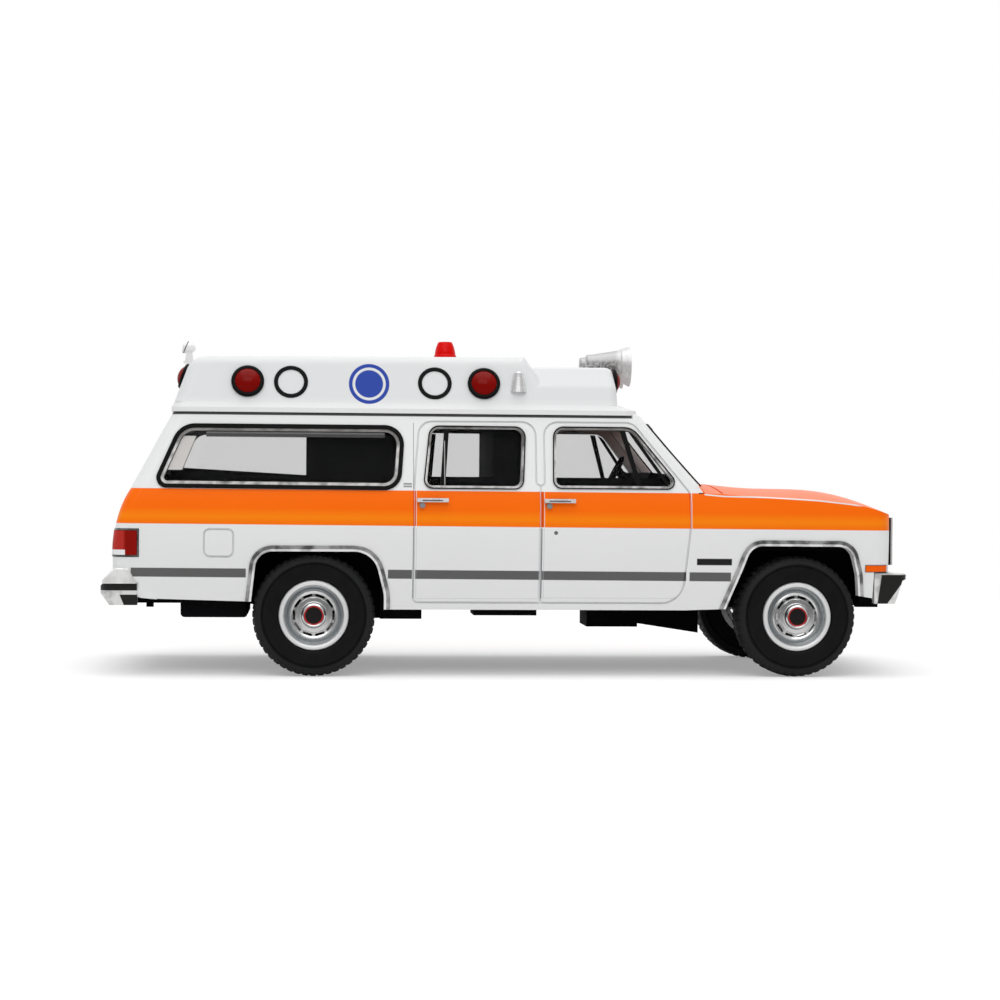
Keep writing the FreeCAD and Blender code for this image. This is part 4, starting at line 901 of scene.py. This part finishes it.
def tread_row(start, end, fill, turn):
    """One row of blocks round the crown, each bevelled, those of the outer rows cut down outwards."""
    block_turn = 2 * math.pi / block_count
    height = (1 - crown + block_sink) * tyre_radius
    middle = (0, -(start + end) / 2 * tyre_width, tyre_radius - height / 2)
    block_size = (fill * block_turn * tyre_radius, (end - start) * tyre_width, height)
    clear_selection()
    bpy.ops.mesh.primitive_cube_add(size=1, location=middle)
    piece = bpy.context.object
    bpy.ops.object.mode_set(mode="EDIT")
    bpy.ops.mesh.select_all(action="SELECT")
    bpy.ops.transform.resize(value=block_size, center_override=middle)
    bpy.ops.mesh.bevel(offset=block_bevel, segments=1)
    bpy.ops.object.mode_set(mode="OBJECT")
    bpy.ops.object.transform_apply(location=True, rotation=True, scale=True)
    for corner in piece.data.vertices:
        across = -corner.co.y / tyre_width
        outwards = max(0, across - (1 - shoulder_start), shoulder_start - across)
        corner.co.z -= outwards / shoulder_width * shoulder_drop * tyre_radius
    bpy.ops.object.mode_set(mode="EDIT")
    bpy.ops.mesh.select_all(action="SELECT")
    bpy.ops.mesh.normals_make_consistent(inside=False)
    bpy.ops.transform.rotate(value=turn * block_turn, orient_axis="Y", center_override=(0, 0, 0))
    bpy.ops.mesh.spin(steps=block_count - 1, dupli=True, angle=block_turn * (block_count - 1),
                      center=(0, 0, 0), axis=(0, 1, 0))
    bpy.ops.object.mode_set(mode="OBJECT")
    return piece


carcass = [(radius * tyre_radius, -inwards * tyre_width) for radius, inwards in section]
tyre_form = turned_ring(carcass, carcass_steps)
bpy.ops.object.shade_smooth_by_angle(angle=math.radians(carcass_smooth))
tyre_form = joined([tyre_form] + [tread_row(*row) for row in block_rows])

for end, centre in axles.items():
    # The tread is a little greyer, and the bead is black against the rim
    rubber = new_finish(end + "_tyre_rubber")
    dust = rubber.noise(700.0, 3.0)
    reach = from_axle(rubber, centre) * (1 / tyre_radius)
    tone = rubber.blend(dust, (0.0030, 0.0030, 0.0035, 1), (0.008, 0.008, 0.009, 1))
    tone = rubber.printed(tone, (0.020, 0.020, 0.021, 1), reach.rises(*tread_from), cover=0.8)
    tone = rubber.printed(tone, grey(0.0005), reach.falls(*bead_to))
    rubber.surface({
        "Base Color": tone, "Roughness": 0.45 + 0.2 * dust, "Specular IOR Level": 0.14,
        "Normal": rubber.bump(dust, 0.15, 0.00004),
    })
    for side in ("left", "right"):
        node = end + "_" + side + "_tyre"
        low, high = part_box(node)
        tyre = bpy.data.objects.new(end + "_" + side + "_treaded_tyre", tyre_form.data.copy())
        tyre.data.materials.clear()
        tyre.data.materials.append(rubber.block)
        bpy.context.collection.objects.link(tyre)
        clear_selection()
        tyre.select_set(True)
        bpy.context.view_layer.objects.active = tyre
        if side == "right":
            bpy.ops.object.mode_set(mode="EDIT")
            bpy.ops.mesh.select_all(action="SELECT")
            bpy.ops.transform.rotate(value=math.pi, orient_axis="Z", center_override=(0, 0, 0))
            bpy.ops.object.mode_set(mode="OBJECT")
        tyre.location = (centre.x, high.y if side == "left" else low.y, centre.z)
        bpy.ops.object.transform_apply(location=True, rotation=True, scale=True)
        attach(tyre, end + "_wheels")
        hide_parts(node)
bpy.data.objects.remove(tyre_form)


# Rear bumper's raised step.
# A bright pad on top of the bumper that rises to the tail and wraps round its two corners. The
# outlines of its middle and its corners lie along the model and share the slope at the tail.
step_rear = [(-0.04262, 0.00970), (-0.04255, 0.01015), (-0.04125, 0.01140)]
corner_outline = step_rear + [(-0.03985, 0.01132), (-0.03905, 0.00970)]
middle_outline = step_rear + [(-0.04085, 0.01140), (-0.04085, 0.00970)]
middle_half_width = 0.0152
corner_widths = (0.01515, 0.01570)
step_bevel = 0.00016
slab_smooth = 40


def outlined_slab(points, near, far, bevel):
    """A slab that is drawn as an outline along the model, drawn out sideways and rounded off."""
    drawn_outline([(place, near, height) for place, height in points])
    bpy.ops.mesh.extrude_region_move(TRANSFORM_OT_translate={"value": (0, far - near, 0)})
    bpy.ops.mesh.select_all(action="SELECT")
    bpy.ops.mesh.normals_make_consistent(inside=False)
    bpy.ops.mesh.bevel(offset=bevel, segments=3)
    slab = close_up(0.000001)
    bpy.ops.object.shade_smooth_by_angle(angle=math.radians(slab_smooth))
    return slab


def slab_each_side(outline, widths, bevel):
    return [outlined_slab(outline, way * widths[0], way * widths[1], bevel) for way in (-1, 1)]


pads = slab_each_side(corner_outline, corner_widths, step_bevel)
pads.append(outlined_slab(middle_outline, -middle_half_width, middle_half_width, step_bevel))
pad = joined(pads)
pad.name = "rear_bumper_step"
step_finish = new_finish("step_plating")
smudge = step_finish.noise(700.0, 3.0)
step_tone = step_finish.blend(smudge.rises(0.5, 0.3), (0.74, 0.74, 0.73, 1), grey(0.97))
step_finish.surface({"Base Color": step_tone, "Metallic": 0.2, "Roughness": 0.18 + 0.1 * smudge})
pad.data.materials.append(step_finish.block)
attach(pad, "body")


# Rear corners.
# The casting's lower corner behind each rear wheel runs on to the bumper, in the same white paint.
# Each is a thin plate that closes the side between the wheel arch and the bumper's end.
skirt_outline = [(-0.03905, 0.00980), (-0.03820, 0.00980), (-0.03690, 0.00805), (-0.03838, 0.00818),
                 (-0.03900, 0.00830)]
skirt_widths = (0.0143, 0.01516)
skirt_bevel = 0.00008
skirt = joined(slab_each_side(skirt_outline, skirt_widths, skirt_bevel))
skirt.name = "rear_corner_skirts"
skirt.data.materials.append(paint.block)
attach(skirt, "body")
